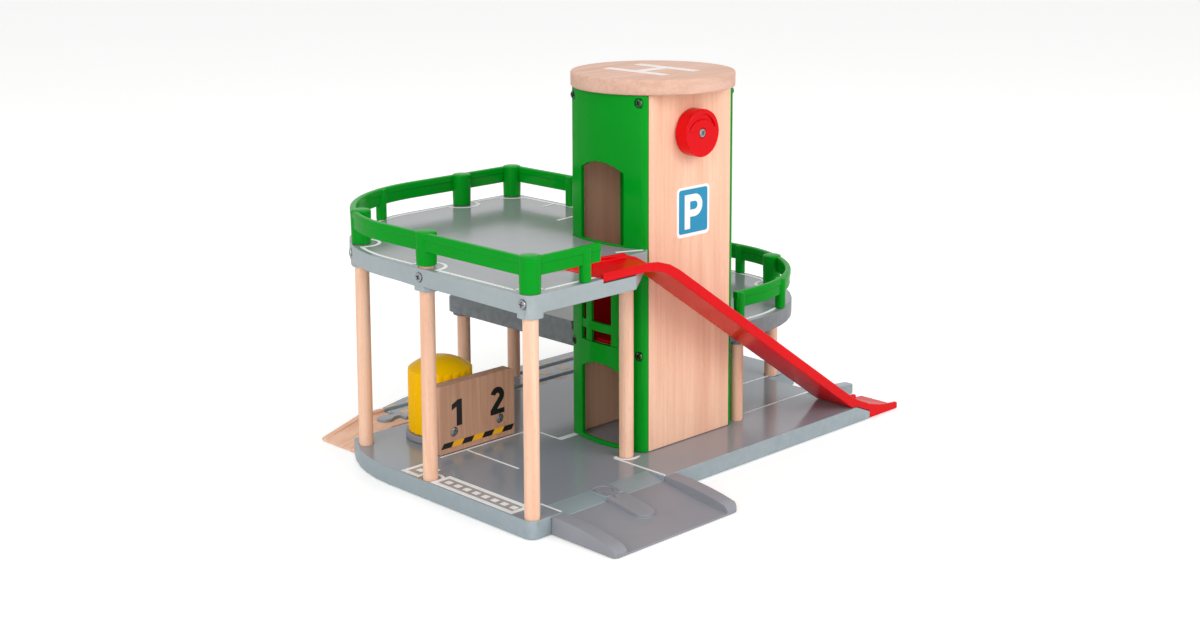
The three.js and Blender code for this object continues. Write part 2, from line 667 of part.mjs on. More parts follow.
// Middle deck, with a kerb across its left end
const midStartX = towerX + woodHalfWidth / 2;
const midOutline = rounded([
  [midStartX, midDeckFront],
  ...arcPoints(rightSweepX, rightSweepY, midSweepRadius, -Math.PI / 2, 0)
    .filter(([x]) => x > midStartX),
  [midDeckRight, deckBack, smallCorner],
  [midDeckLeft, deckBack, smallCorner],
  [midDeckLeft, towerBack - towerCorner],
  [midStartX, towerBack - towerCorner],
]);
const midPosts = posts.filter((post) => 'mid' in post.screws || post.top === underMid);
const midKerb = block(midDeckLeft, midDeckLeft + midKerbWidth, towerBack + gap + overrun,
  deckBack - smallCorner, midDeckTop - skin, midDeckTop + midKerbHeight);
const midDeck = cut(
  join(hollowDeck(midOutline, midDeckBottom, midPosts, []), midKerb),
  ...postBores(midPosts, midDeckBottom), ...edgeScrewBores('mid'));
addPart('mid_deck', midDeck, greyPlastic());

// Railings: a band with a thicker top rim, on sleeves over the posts and on thin posts
const ribbon = (path, width, bottom, top) => {
  const side = (offset) => path.map((point, i) => {
    const before = path[Math.max(i - 1, 0)];
    const after = path[Math.min(i + 1, path.length - 1)];
    const a = i > 0 ? point.clone().sub(before).normalize() : after.clone().sub(point).normalize();
    const b = i < path.length - 1 ? after.clone().sub(point).normalize() : a;
    const normalA = new THREE.Vector2(-a.y, a.x);
    const normalB = new THREE.Vector2(-b.y, b.x);
    return point.clone().addScaledVector(normalA.clone().add(normalB),
      offset / (1 + normalA.dot(normalB)));
  });
  return alongZ([...side(-width / 2), ...side(width / 2).reverse()], bottom, top);
};
const cappedRod = (x, y, radius, bottom, top, cap) => {
  const profile = [
    new THREE.Vector2(0, bottom),
    new THREE.Vector2(radius, bottom),
    ...arcPoints(radius - cap, top - cap, cap, 0, Math.PI / 2)
      .map(([r, z]) => new THREE.Vector2(r, z)),
    new THREE.Vector2(0, top)];
  return new THREE.LatheGeometry(profile, 14).rotateX(Math.PI / 2).translate(x, y, 0);
};
const railCentre = railInset + railThickness / 2;
const railing = (deckTop, path, sleeved, thin, liftedPost) => {
  const foot = (post) => deckTop + gap + (post.name === liftedPost ? railLift : 0);
  const sleeves = sleeved.map((post) => cappedRod(post.x, post.y, sleeveRadius, foot(post),
    deckTop + railTop + sleeveCap, sleeveCap));
  const bores = sleeved.map((post) => rodZ(post.x, post.y, postRadius + postClearance,
    deckTop - overrun, post.top));
  const stems = thin.map(([x, y]) => cappedRod(x, y, thinPostRadius, deckTop + gap,
    deckTop + railTop, railRim / 2));
  return cut(join(
    ribbon(path, railThickness - railStep, deckTop + railBottom, deckTop + railTop - railRim / 2),
    ribbon(path, railThickness, deckTop + railTop - railRim, deckTop + railTop),
    ...sleeves, ...stems), ...bores);
};
const railLeft = -edgeInset + railCentre;
const railBack = deckBack - railCentre;
const topRailRight = deckRight - railCentre;
const railCorner = smallCorner - railCentre;
const topRailEnd = towerBack + gap + thinPostRadius + overrun;
const topRailPath = rounded([
  [topRailStart, railLeft],
  [railLeft, railLeft, railCorner],
  ...arcPoints(leftSweepX, leftSweepY, sweepRadius - railCentre, Math.PI, Math.PI / 2),
  [topRailRight, railBack, railCorner],
  [topRailRight, topRailEnd],
], false);
const sweepStemAngle = 107.4 * degrees;
const topStems = [
  [topStemX, railLeft],
  [leftSweepX + (sweepRadius - railCentre) * Math.cos(sweepStemAngle),
    leftSweepY + (sweepRadius - railCentre) * Math.sin(sweepStemAngle)],
  [topRailRight, (railBack + topRailEnd) / 2],
  [topRailRight, topRailEnd],
];
const fullPosts = posts.filter((post) => post.top === topEnd);
addPart('top_railing', railing(topDeckTop, topRailPath, fullPosts, topStems, 'post_side_left'),
  greenPlastic());
const midRailFront = midDeckFront + railCentre;
const midRailRight = midDeckRight - railCentre;
const midRailEnd = deckRight + lugRadius;
const midRailPath = rounded([
  [midRailStart, midRailFront],
  ...arcPoints(rightSweepX, rightSweepY, midSweepRadius - railCentre, -Math.PI / 2, 0)
    .filter(([x]) => x > midStemX),
  [midRailRight, railBack, railCorner],
  [midRailEnd, railBack],
], false);
const onRightRail = (angle) => [
  rightSweepX + (midSweepRadius - railCentre) * Math.cos(angle),
  rightSweepY + (midSweepRadius - railCentre) * Math.sin(angle)];
const midStems = [
  [midStemX, midRailFront],
  onRightRail(-70 * degrees),
  [midRailRight, rightSweepY + thinPostRadius],
  [midRailRight, (rightSweepY + railBack) / 2],
  [(midRailEnd + midRailRight) / 2, railBack],
  [midRailEnd, railBack],
];
const midOnlyPosts = posts.filter((post) => post.top === midEnd);
addPart('mid_railing', railing(midDeckTop, midRailPath, midOnlyPosts, midStems, ''), greenPlastic());

// Tower: two wooden walls, two bulged side shells with doors, and the roof disc
const doorHalf = doorWidth / 2;
const archRadius = (doorHalf ** 2 + doorRise ** 2) / (2 * doorRise);
const archAngle = Math.asin(doorHalf / archRadius);
const doorOutline = (sill) => {
  const spring = sill + doorHeight - doorRise;
  const arch = arcPoints(towerY, spring + doorRise - archRadius, archRadius,
    Math.PI / 2 - archAngle, Math.PI / 2 + archAngle);
  return rounded([
    [towerY - doorHalf, sill], [towerY + doorHalf, sill], ...arch]);
};
const sills = {
  ground: baseTop + sillHeight,
  mid: midDeckTop - sillStep,
  top: topDeckTop + sillStep,
};
const shellScrewY = towerHalfDepth - woodThickness / 2 - sillStep;
const shellScrewPlaces = (side) => [
  side < 0 ? midDeckTop - shellScrewDrop : midDeckBottom - lugDrop - shellScrewDrop,
  towerTop - shellScrewDrop,
].flatMap((z) => [-1, 1].map((lean) => [towerY + lean * shellScrewY, z]));
const shellSide = (side, from, to) => {
  const ends = [towerX + side * from, towerX + side * to].sort((a, b) => a - b);
  return ends;
};
const seatReach = towerHalfWidth - shellScrewSeat;
const bossRadius = headRadius + headClearance + skin / 2;
const shell = (side, openSills, barredSill) => {
  const wall = cut(
    towerPrism(0, baseTop + gap, towerTop),
    towerPrism(shellWall, baseTop - overrun, towerTop + overrun),
    block(...shellSide(side, -towerHalfWidth - overrun, woodHalfWidth + gap),
      towerFront - overrun, towerBack + overrun, baseTop - overrun, towerTop + overrun));
  const [bossLeft, bossRight] = shellSide(side, woodHalfWidth + gap, towerHalfWidth);
  const bosses = shellScrewPlaces(side).map(([y, z]) => overlapOf(
    rodX(y, z, bossRadius, bossLeft, bossRight), towerPrism(0, baseTop, towerTop)));
  const screwTools = shellScrewPlaces(side).flatMap(([y, z]) => [
    rodX(y, z, screwHole, bossLeft - overrun, bossRight + overrun, 8),
    rodX(y, z, headRadius + headClearance,
      ...shellSide(side, seatReach, towerHalfWidth + overrun), 12)]);
  const [cutLeft, cutRight] = shellSide(side, woodHalfWidth + gap + overrun, towerHalfWidth + overrun);
  const doors = openSills.map((sill) => alongX(doorOutline(sill), cutLeft, cutRight));
  const barredDoor = alongX(doorOutline(barredSill), cutLeft, cutRight);
  const bars = [
    ...[-1, 1].map((s) => towerY + s * (paneHalf + barWidth / 2)).map((y) =>
      block(cutLeft - overrun, cutRight + overrun, y - barWidth / 2, y + barWidth / 2,
        barredSill - overrun, barredSill + doorHeight + overrun)),
    block(cutLeft - overrun, cutRight + overrun, towerFront, towerBack,
      barredSill + paneHeight, barredSill + paneHeight + barWidth)];
  const recess = cut(barredDoor, towerPrism(shellWall - barDepth, barredSill - overrun,
    barredSill + doorHeight + overrun));
  return cut(join(wall, ...bosses), ...screwTools, ...doors, recess, cut(barredDoor, ...bars));
};
addPart('tower_left_shell', shell(-1, [sills.ground, sills.top], sills.mid), greenPlastic());
addPart('tower_right_shell', shell(1, [sills.ground, sills.mid], sills.top), greenPlastic());
for (const side of [-1, 1]) {
  const sideName = side < 0 ? 'left' : 'right';
  shellScrewPlaces(side).forEach(([y, z], i) => {
    addPart(`screw_${sideName}_shell_${i + 1}`, join(
      rodX(y, z, headRadius, ...shellSide(side, seatReach + gap, seatReach + gap + headHeight), 12),
      rodX(y, z, screwRadius, ...shellSide(side, seatReach - screwLength, seatReach + headHeight), 8)),
    steel());
  });
}
const woodLeft = towerX - woodHalfWidth;
const woodRight = towerX + woodHalfWidth;
const spindleZ = baseTop + spindleRise;
const woodWall = (front, back, bore) => {
  const pilots = [-1, 1].flatMap((side) => shellScrewPlaces(side)
    .filter(([y]) => y > front && y < back)
    .map(([y, z]) => rodX(y, z, screwHole,
      ...shellSide(side, seatReach - screwLength - overrun / 2, woodHalfWidth + overrun), 8)));
  const foot = rodZ(towerX, (front + back) / 2, screwHole, baseTop - overrun,
    footScrewLength + overrun, 8);
  return cut(block(woodLeft, woodRight, front, back, baseTop + gap, towerTop),
    rodY(towerX, spindleZ, bore, front - overrun, back + overrun), ...pilots, foot);
};
const frontInner = towerFront + woodThickness;
const backInner = towerBack - woodThickness;
addPart('tower_front_wall', woodWall(towerFront, frontInner, bushRadius + gap), beech());
addPart('tower_back_wall', woodWall(backInner, towerBack, bushRadius + gap), beech());
const roofBottom = towerTop + gap;
const roofProfile = [
  new THREE.Vector2(0, roofBottom),
  ...arcPoints(roofRadius - roofEdge, roofBottom + roofEdge, roofEdge, -Math.PI / 2, 0)
    .map(([r, z]) => new THREE.Vector2(r, z)),
  ...arcPoints(roofRadius - roofEdge, roofBottom + roofThickness - roofEdge, roofEdge, 0, Math.PI / 2)
    .map(([r, z]) => new THREE.Vector2(r, z)),
  new THREE.Vector2(0, roofBottom + roofThickness)];
const spigotHalf = woodHalfWidth - gap * 2;
addPart('roof_disc', join(
  new THREE.LatheGeometry(roofProfile, 48).rotateX(Math.PI / 2).translate(towerX, towerY, 0),
  block(towerX - spigotHalf, towerX + spigotHalf, frontInner + gap, backInner - gap,
    roofBottom - spigotDepth, roofBottom + roofEdge)), beech());

// Lift: guide rails, the cab with its runners, and the cord eye on its roof
const guideTop = spindleZ - drumFlangeRadius - guideDepth;
const guide = (front, back) => block(towerX - guideWidth / 2, towerX + guideWidth / 2, front, back,
  baseTop + gap, guideTop);
addPart('guide_rail_front', guide(frontInner + gap, frontInner + gap + guideDepth), beech());
addPart('guide_rail_back', guide(backInner - gap - guideDepth, backInner - gap), beech());
const cabHalfDepth = towerHalfDepth - woodThickness - gap * 2 - guideDepth;
const bulge = (offset) => towerSideRadius - Math.sqrt(towerSideRadius ** 2 - offset ** 2);
const cabHalfLength = towerHalfWidth - shellWall - bulge(cabHalfDepth) - cabClearance;
const cabBottom = midDeckTop - cabFloor;
const cabTop = cabBottom + cabHeight;
const cabLeft = towerX - cabHalfLength;
const cabRight = towerX + cabHalfLength;
const runnerReach = guideWidth / 2 + gap;
const runners = [-1, 1].flatMap((side) => [-1, 1].map((lean) => {
  const [x0, x1] = shellSide(side, runnerReach, runnerReach + runnerWidth);
  const y0 = towerY + lean * (cabHalfDepth - cabWall / 2);
  const y1 = towerY + lean * (cabHalfDepth + guideDepth);
  return block(x0, x1, Math.min(y0, y1), Math.max(y0, y1), cabBottom, cabTop);
}));
const eyeShank = screwRadius;
const cab = cut(
  join(block(cabLeft, cabRight, towerY - cabHalfDepth, towerY + cabHalfDepth, cabBottom, cabTop),
    ...runners),
  block(cabLeft - overrun, cabRight + overrun, towerY - cabHalfDepth + cabWall,
    towerY + cabHalfDepth - cabWall, cabBottom + cabFloor, cabTop - cabFloor),
  rodZ(towerX, towerY, eyeShank + gap, cabTop - cabFloor - overrun, cabTop + overrun, 8));
addPart('lift_cab', cab, paint(0xa00c18, 0.4));
const eyeZ = cabTop + gap + eyeWire + eyeRadius;
addPart('cord_eye', join(
  new THREE.TorusGeometry(eyeRadius, eyeWire, 6, 14).rotateX(Math.PI / 2)
    .translate(towerX, towerY, eyeZ),
  rodZ(towerX, towerY, eyeShank, cabTop - cabFloor, eyeZ - eyeRadius, 8)), steel());

// Winding gear: spindle in two bushes, drum, collar and knob
const bushDepth = woodThickness + bushFlange;
addPart('bush_front', cut(
  join(rodY(towerX, spindleZ, bushRadius, towerFront - gap - bushFlange, frontInner),
    rodY(towerX, spindleZ, bushFlangeRadius, towerFront - gap - bushFlange, towerFront - gap)),
  rodY(towerX, spindleZ, spindleRadius + runningGap, towerFront - bushDepth, frontInner + overrun)),
whitePlastic());
addPart('bush_back', cut(
  join(rodY(towerX, spindleZ, bushRadius, backInner - gap, towerBack),
    rodY(towerX, spindleZ, bushFlangeRadius, backInner - gap - bushFlange, backInner - gap)),
  rodY(towerX, spindleZ, spindleRadius + runningGap, backInner - bushDepth, towerBack - bushFlange)),
whitePlastic());
const knobBack = towerFront - gap * 2;
const knobFront = knobBack - knobLength;
const hubBack = towerFront - gap - bushFlange - gap;
const spindleFront = knobFront + knobFace + gap;
const spindleBack = towerBack - bushFlange - gap;
addPart('spindle', cut(
  rodY(towerX, spindleZ, spindleRadius, spindleFront, spindleBack),
  rodY(towerX, spindleZ, screwHole, spindleFront - overrun, spindleFront + screwLength, 8)), steel());
addPart('winding_drum', cut(
  join(rodY(towerX, spindleZ, drumRadius, towerY - drumWidth / 2, towerY + drumWidth / 2),
    rodY(towerX, spindleZ, drumFlangeRadius, towerY - drumWidth / 2 - drumFlange,
      towerY - drumWidth / 2 + gap),
    rodY(towerX, spindleZ, drumFlangeRadius, towerY + drumWidth / 2 - gap,
      towerY + drumWidth / 2 + drumFlange)),
  rodY(towerX, spindleZ, spindleRadius + gap, towerY - drumWidth, towerY + drumWidth)), whitePlastic());
addPart('spindle_collar', cut(
  rodY(towerX, spindleZ, collarRadius, frontInner + gap, frontInner + gap + collarWidth),
  rodY(towerX, spindleZ, spindleRadius + gap, frontInner - overrun,
    frontInner + collarWidth + overrun)), steel());
const knobOutline = Array.from({ length: scallopCount * 6 }, (_, i) => {
  const angle = 2 * Math.PI * i / (scallopCount * 6);
  const radius = knobRadius - scallopDepth * (1 - Math.cos(scallopCount * angle)) / 2;
  return new THREE.Vector2(towerX + radius * Math.cos(angle), spindleZ + radius * Math.sin(angle));
});
const knobCavity = cut(
  rodY(towerX, spindleZ, knobRadius - scallopDepth - knobRim, knobFront + knobFace,
    knobBack + overrun),
  rodY(towerX, spindleZ, knobHubRadius, knobFront, hubBack));
const crescent = cut(
  rodY(towerX, spindleZ, knobRadius - knobRim, knobFront - overrun, knobFront + crescentDepth, 24),
  rodY(towerX, spindleZ - crescentShift, knobRadius - knobRim + crescentShift / 2,
    knobFront - overrun * 2, knobFront + crescentDepth + overrun, 24));
addPart('knob', cut(
  alongY(knobOutline, knobFront, knobBack), knobCavity, crescent,
  rodY(towerX, spindleZ, spindleRadius + gap, knobFront + knobFace, knobBack + overrun),
  rodY(towerX, spindleZ, screwHole, knobFront - overrun, knobBack, 8),
  rodY(towerX, spindleZ, headRadius + headClearance, knobFront - overrun,
    knobFront + headHeight + headClearance)), redPlastic());
addPart('knob_screw', join(
  rodY(towerX, spindleZ, headRadius, knobFront + headClearance - gap, knobFront + headHeight, 12),
  rodY(towerX, spindleZ, screwRadius, knobFront + headHeight / 2,
    spindleFront + screwLength - gap * 2, 8)), steel());

// Number wall, its screws, and the tank on its pedestal
const wallBottom = baseTop + gap;
const wallScrewZ = baseTop + wallScrewRise;
const wallRight = wallLeft + wallLength;
const wallHead = wallFront + headClearance + headHeight;
addPart('number_wall', cut(
  alongY(rounded([[wallLeft, wallBottom], [wallRight, wallBottom],
    [wallRight, baseTop + wallHeight, smallCorner / 2],
    [wallLeft, baseTop + wallHeight, smallCorner / 2]]), wallFront, wallFront + wallThickness),
  ...wallScrewXs.flatMap((x) => [
    rodY(x, wallScrewZ, screwHole, wallFront - overrun, wallFront + wallThickness + overrun, 8),
    rodY(x, wallScrewZ, headRadius + headClearance, wallFront - overrun, wallHead + gap, 12)])),
beech());
wallScrewXs.forEach((x, i) => addPart(`screw_number_wall_${i + 1}`, join(
  rodY(x, wallScrewZ, headRadius, wallFront + headClearance, wallHead, 12),
  rodY(x, wallScrewZ, screwRadius, wallHead - headHeight / 2,
    anchorFront + anchorDepth - ribWidth, 8)), steel()));
const pedestalBottom = baseTop + gap;
const pedestalTop = baseTop + pedestalHeight;
const tankBottom = pedestalTop + gap;
const tankShoulder = tankBottom + tankHeight;
addPart('tank_pedestal', cut(
  join(rodZ(tankX, tankY, pedestalRadius, pedestalBottom, pedestalTop, 32),
    rodZ(tankX, tankY, tankRadius - fluteDepth - tankWall - gap, pedestalTop - gap,
      pedestalTop + spigotHeight, 24)),
  rodZ(tankX, tankY, screwHole, baseTop - overrun, footScrewLength + gap, 8)), satinGrey());
const fluteSteps = 3;
const fluted = Array.from({ length: fluteCount * fluteSteps }, (_, i) => {
  const angle = 2 * Math.PI * i / (fluteCount * fluteSteps);
  const radius = tankRadius - fluteDepth * (1 - Math.cos(fluteCount * angle)) / 2;
  return new THREE.Vector2(tankX + radius * Math.cos(angle), tankY + radius * Math.sin(angle));
});
const dome = (radius, bottom, shoulder, rise) => {
  const curve = (radius ** 2 + rise ** 2) / (2 * rise);
  const angle = Math.asin(radius / curve);
  const profile = [
    new THREE.Vector2(0, bottom),
    new THREE.Vector2(radius, bottom),
    ...arcPoints(0, shoulder + rise - curve, curve, Math.PI / 2 - angle, Math.PI / 2)
      .map(([r, z], i, all) => new THREE.Vector2(i === all.length - 1 ? 0 : r, z))];
  return new THREE.LatheGeometry(profile, 33).rotateX(Math.PI / 2).translate(tankX, tankY, 0);
};
addPart('tank', cut(
  overlapOf(alongZ(fluted, tankBottom, tankShoulder + tankDome + overrun),
    dome(tankRadius + fluteDepth, tankBottom - overrun, tankShoulder, tankDome)),
  dome(tankRadius - fluteDepth - tankWall, tankBottom - overrun * 2, tankShoulder - tankWall,
    tankDome)), yellowPlastic());

// Entry ramp with kerbs, a median and the puzzle peg that drops into the base plate
const rampBack = -edgeInset - gap;
const rampFront = rampBack - rampLength;
const rampRight = rampLeft + rampWidth;
const kerbLine = new THREE.QuadraticBezierCurve(
  new THREE.Vector2(rampBack, baseTop),
  new THREE.Vector2((rampBack + rampFront) / 2, (baseTop + kerbTip) / 2 + kerbBulge * 2),
  new THREE.Vector2(rampFront + kerbTip / 2, kerbTip)).getPoints(10);
const kerbSide = [
  new THREE.Vector2(rampFront, 0),
  new THREE.Vector2(rampBack, 0),
  ...kerbLine,
  new THREE.Vector2(rampFront, kerbTip / 2)];
const rampLane = rounded([
  [rampFront, 0], [rampBack, 0], [rampBack, baseTop - laneDrop], [rampFront, laneEdge]]);
const laneFall = (baseTop - laneDrop - laneEdge) / rampLength;
const medianEndZ = baseTop - laneDrop - laneFall * medianLength + medianStep;
const medianHalf = medianWidth / 2;
const medianEnd = rampBack - medianLength;
const medianSide = rounded([
  [medianEnd, 0], [rampBack, 0], [rampBack, baseTop], [medianEnd, medianEndZ]]);
const medianPlan = rounded([
  [rampMiddle - medianHalf, rampBack],
  [rampMiddle - medianHalf, medianEnd, medianHalf - gap],
  [rampMiddle + medianHalf, medianEnd, medianHalf - gap],
  [rampMiddle + medianHalf, rampBack]]);
const rampPlan = rounded([
  [rampLeft, rampBack], [rampLeft, rampFront, kerbCorner],
  [rampRight, rampFront, kerbCorner], [rampRight, rampBack]]);
const rampBody = join(
  alongX(rampLane, rampLeft + gap, rampRight - gap),
  alongX(kerbSide, rampLeft, rampLeft + kerbWidth),
  alongX(kerbSide, rampRight - kerbWidth, rampRight));
const median = overlapOf(
  alongX(medianSide, rampMiddle - medianHalf, rampMiddle + medianHalf),
  alongZ(medianPlan, -overrun, baseTop + overrun));
addPart('entry_ramp', join(
  overlapOf(rampBody, alongZ(rampPlan, -overrun, baseTop + overrun)), median,
  rodZ(rampMiddle, pegY, pegRadius, 0, baseTop, 20),
  block(rampMiddle - pegNeck / 2, rampMiddle + pegNeck / 2, rampBack - overrun, pegY, 0, baseTop)),
satinGrey());

// Wooden track ramp, slotted for the base plate's peg
const trackRight = bayRight - gap;
const trackLeft = trackRight - trackLength;
const trackFlatX = trackRight - trackFlat;
const trackSide = rounded([
  [trackLeft, 0], [trackRight, 0], [trackRight, baseTop], [trackFlatX, baseTop],
  [trackLeft, trackRise]]);
const trackLane = rounded([
  [trackLeft - overrun, trackRise / 2], [trackFlatX, baseTop - trackRecess],
  [trackRight + overrun, baseTop - trackRecess], [trackRight + overrun, baseTop + overrun],
  [trackLeft - overrun, baseTop + overrun]]);
const trackHalf = trackWidth / 2;
addPart('wooden_track', cut(
  alongY(trackSide, trackY - trackHalf, trackY + trackHalf),
  alongY(trackLane, trackY - trackHalf + trackRim, trackY + trackHalf - trackRim),
  rodZ(pegX, trackY, pegRadius + gap, -overrun, baseTop + overrun, 20),
  block(pegX, trackRight + overrun, trackY - pegNeck / 2 - gap, trackY + pegNeck / 2 + gap,
    -overrun, baseTop + overrun)), beech());

export default garage;
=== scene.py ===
# %% [markdown]
# # A toy parking garage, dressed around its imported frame
# The garage is a road plate, two decks on beech dowels, a tower with a lift, a slide and a few
# small pieces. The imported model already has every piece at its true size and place, so this
# script keeps that frame still and gives each piece the surface that the real one has: softly
# rounded moulded edges, wood grain, screws with a recess, and printed road marks.

# %% Load the frame
import math
import bmesh
import bpy
from mathutils import Matrix, Vector


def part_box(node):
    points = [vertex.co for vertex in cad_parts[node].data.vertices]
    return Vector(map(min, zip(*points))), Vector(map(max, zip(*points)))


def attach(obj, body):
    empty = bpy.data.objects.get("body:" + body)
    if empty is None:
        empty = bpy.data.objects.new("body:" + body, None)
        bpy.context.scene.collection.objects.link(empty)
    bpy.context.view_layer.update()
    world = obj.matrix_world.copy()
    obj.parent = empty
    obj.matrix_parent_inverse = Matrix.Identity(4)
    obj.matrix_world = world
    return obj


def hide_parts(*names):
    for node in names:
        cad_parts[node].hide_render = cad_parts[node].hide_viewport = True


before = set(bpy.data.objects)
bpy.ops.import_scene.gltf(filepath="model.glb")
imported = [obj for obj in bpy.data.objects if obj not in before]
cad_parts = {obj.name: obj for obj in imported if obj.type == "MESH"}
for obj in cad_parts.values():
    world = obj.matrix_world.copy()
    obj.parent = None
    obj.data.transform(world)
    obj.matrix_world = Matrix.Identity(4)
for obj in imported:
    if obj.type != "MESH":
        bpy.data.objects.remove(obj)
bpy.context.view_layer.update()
scene = bpy.context.scene

# %% [markdown]
# ## Camera, floor and light
# The camera stands where the photograph was taken: in front and to the left, a little above the
# roof of the middle deck, looking slightly down with a long lens. The picture is cropped from the
# upper part of the lens's field, which is what the vertical shift says. Soft light from a bright
# room and three large panels keeps every colour close to its own value.

# %% Camera
EYE = Vector((-0.8909, -0.9077, 0.4216))
YAW, PITCH, ROLL = (math.radians(a) for a in (45.50, -9.085, -0.185))
SENSOR_WIDTH, LENS, UPWARD_SHIFT = 36.0, 53.31, -0.1485
NEAREST = 0.02


def make_camera():
    ahead = Vector((math.cos(PITCH) * math.cos(YAW), math.cos(PITCH) * math.sin(YAW),
                    math.sin(PITCH)))
    right = Vector((math.sin(YAW), -math.cos(YAW), 0))
    up = right.cross(ahead)
    turned_right = right * math.cos(ROLL) + up * math.sin(ROLL)
    turned_up = up * math.cos(ROLL) - right * math.sin(ROLL)
    data = bpy.data.cameras.new("photo_camera")
    data.sensor_width, data.lens, data.shift_y = SENSOR_WIDTH, LENS, UPWARD_SHIFT
    data.clip_start = NEAREST
    camera = bpy.data.objects.new("photo_camera", data)
    camera.matrix_world = Matrix((
        (turned_right.x, turned_up.x, -ahead.x, EYE.x),
        (turned_right.y, turned_up.y, -ahead.y, EYE.y),
        (turned_right.z, turned_up.z, -ahead.z, EYE.z),
        (0, 0, 0, 1)))
    scene.collection.objects.link(camera)
    scene.camera = camera
    return camera


camera = make_camera()
print("camera at", [round(v, 3) for v in camera.location], "lens", camera.data.lens)

# %% A short way to write node trees
def add(tree, kind, feeds=None, **settings):
    node = tree.nodes.new(kind)
    for name, value in settings.items():
        setattr(node, name, value)
    for socket, value in (feeds or {}).items():
        target = node.inputs[socket]
        if isinstance(value, bpy.types.NodeSocket):
            tree.links.new(value, target)
        else:
            target.default_value = value
    return node


def maths(tree, operation, *values):
    return add(tree, "ShaderNodeMath", dict(enumerate(values)), operation=operation).outputs[0]


def spread(tree, value, low, high, new_low=0.0, new_high=1.0):
    node = add(tree, "ShaderNodeMapRange", {
        "Value": value, "From Min": low, "From Max": high, "To Min": new_low, "To Max": new_high})
    return node.outputs["Result"]


def mixed(tree, factor, a, b, blend="MIX"):
    node = add(tree, "ShaderNodeMix", data_type="RGBA", blend_type=blend)
    for socket, value in ((node.inputs[0], factor), (node.inputs[6], a), (node.inputs[7], b)):
        if isinstance(value, bpy.types.NodeSocket):
            tree.links.new(value, socket)
        else:
            socket.default_value = value
    return node.outputs[2]


def rgb(red, green, blue):
    def linear(c):
        c = c / 255
        return c / 12.92 if c <= 0.04045 else ((c + 0.055) / 1.055) ** 2.4
    return (linear(red), linear(green), linear(blue), 1.0)


# %% World, lamps and floor
ROOM_LIGHT, ROOM_SEEN = 0.58, 0.95
AIM_POINT = Vector((0, 0, 0.1))
PANELS = [
    ("front_panel", (0.35, -1.9, 1.15), 1.3, 19.0),
    ("left_panel", (-1.8, -0.6, 0.9), 1.4, 15.5),
    ("top_panel", (0.1, 0.5, 2.1), 1.6, 7.0),
]
FLOOR_REACH, FLOOR_CENTRE, FLOOR_GLOW = 9, (3, 3, -0.0004), 0.3
WHITE = (1, 1, 1, 1)


def make_light():
    world = bpy.data.worlds.new("studio")
    scene.world = world
    world.use_nodes = True
    tree = world.node_tree
    tree.nodes.clear()
    path = add(tree, "ShaderNodeLightPath")
    seen = maths(tree, "MAXIMUM", path.outputs["Is Camera Ray"], path.outputs["Is Glossy Ray"])
    seen = maths(tree, "MAXIMUM", seen, path.outputs["Is Transmission Ray"])
    plain = add(tree, "ShaderNodeBackground", {"Color": WHITE, "Strength": ROOM_LIGHT})
    white = add(tree, "ShaderNodeBackground", {"Color": WHITE, "Strength": ROOM_SEEN})
    both = add(tree, "ShaderNodeMixShader", {0: seen, 1: plain.outputs[0], 2: white.outputs[0]})
    add(tree, "ShaderNodeOutputWorld", {0: both.outputs[0]})
    for name, place, size, power in PANELS:
        data = bpy.data.lights.new(name, "AREA")
        data.shape, data.size, data.energy = "SQUARE", size, power
        lamp = bpy.data.objects.new(name, data)
        lamp.location = place
        aim = AIM_POINT - Vector(place)
        lamp.rotation_euler = aim.to_track_quat("-Z", "Y").to_euler()
        scene.collection.objects.link(lamp)


def make_floor():
    bm = bmesh.new()
    bmesh.ops.create_grid(bm, x_segments=8, y_segments=8, size=FLOOR_REACH)
    mesh = bpy.data.meshes.new("floor")
    bm.to_mesh(mesh)
    bm.free()
    floor = bpy.data.objects.new("floor", mesh)
    floor.location = FLOOR_CENTRE
    scene.collection.objects.link(floor)
    paper = bpy.data.materials.new("white_paper")
    paper.use_nodes = True
    tree = paper.node_tree
    surface = tree.nodes["Principled BSDF"]
    surface.inputs["Base Color"].default_value = rgb(244, 244, 243)
    surface.inputs["Roughness"].default_value = 0.42
    surface.inputs["Specular IOR Level"].default_value = 0.25
    path = add(tree, "ShaderNodeLightPath")
    glow = add(tree, "ShaderNodeEmission", {"Color": WHITE, "Strength": FLOOR_GLOW})
    total = add(tree, "ShaderNodeAddShader", {0: surface.outputs[0], 1: glow.outputs[0]})
    shown = add(tree, "ShaderNodeMixShader", {
        0: path.outputs["Is Camera Ray"], 1: surface.outputs[0], 2: total.outputs[0]})
    tree.links.new(shown.outputs[0], tree.nodes["Material Output"].inputs["Surface"])
    mesh.materials.append(paper)


scene.view_settings.view_transform = "Standard"
make_light()
make_floor()

# %% [markdown]
# ## Finishes
# The real garage has four kinds of surface: oiled beech with fine dark flecks, moulded plastic
# with a faint sheen, a darker printed face on top of the road plates, and zinc-plated screws.
# Grain and sheen could be painted images, but patterns computed in space follow every piece
# without seams, so each effect is a node group that several materials share.

# %% Beech grain, as a group
def new_group(name, inputs, outputs):
    group = bpy.data.node_groups.new(name, "ShaderNodeTree")
    for kind, label, value in inputs:
        socket = group.interface.new_socket(label, in_out="INPUT", socket_type=kind)
        if value is not None:
            socket.default_value = value
    for kind, label in outputs:
        group.interface.new_socket(label, in_out="OUTPUT", socket_type=kind)
    enter = group.nodes.new("NodeGroupInput")
    leave = group.nodes.new("NodeGroupOutput")
    return group, enter.outputs, leave.inputs


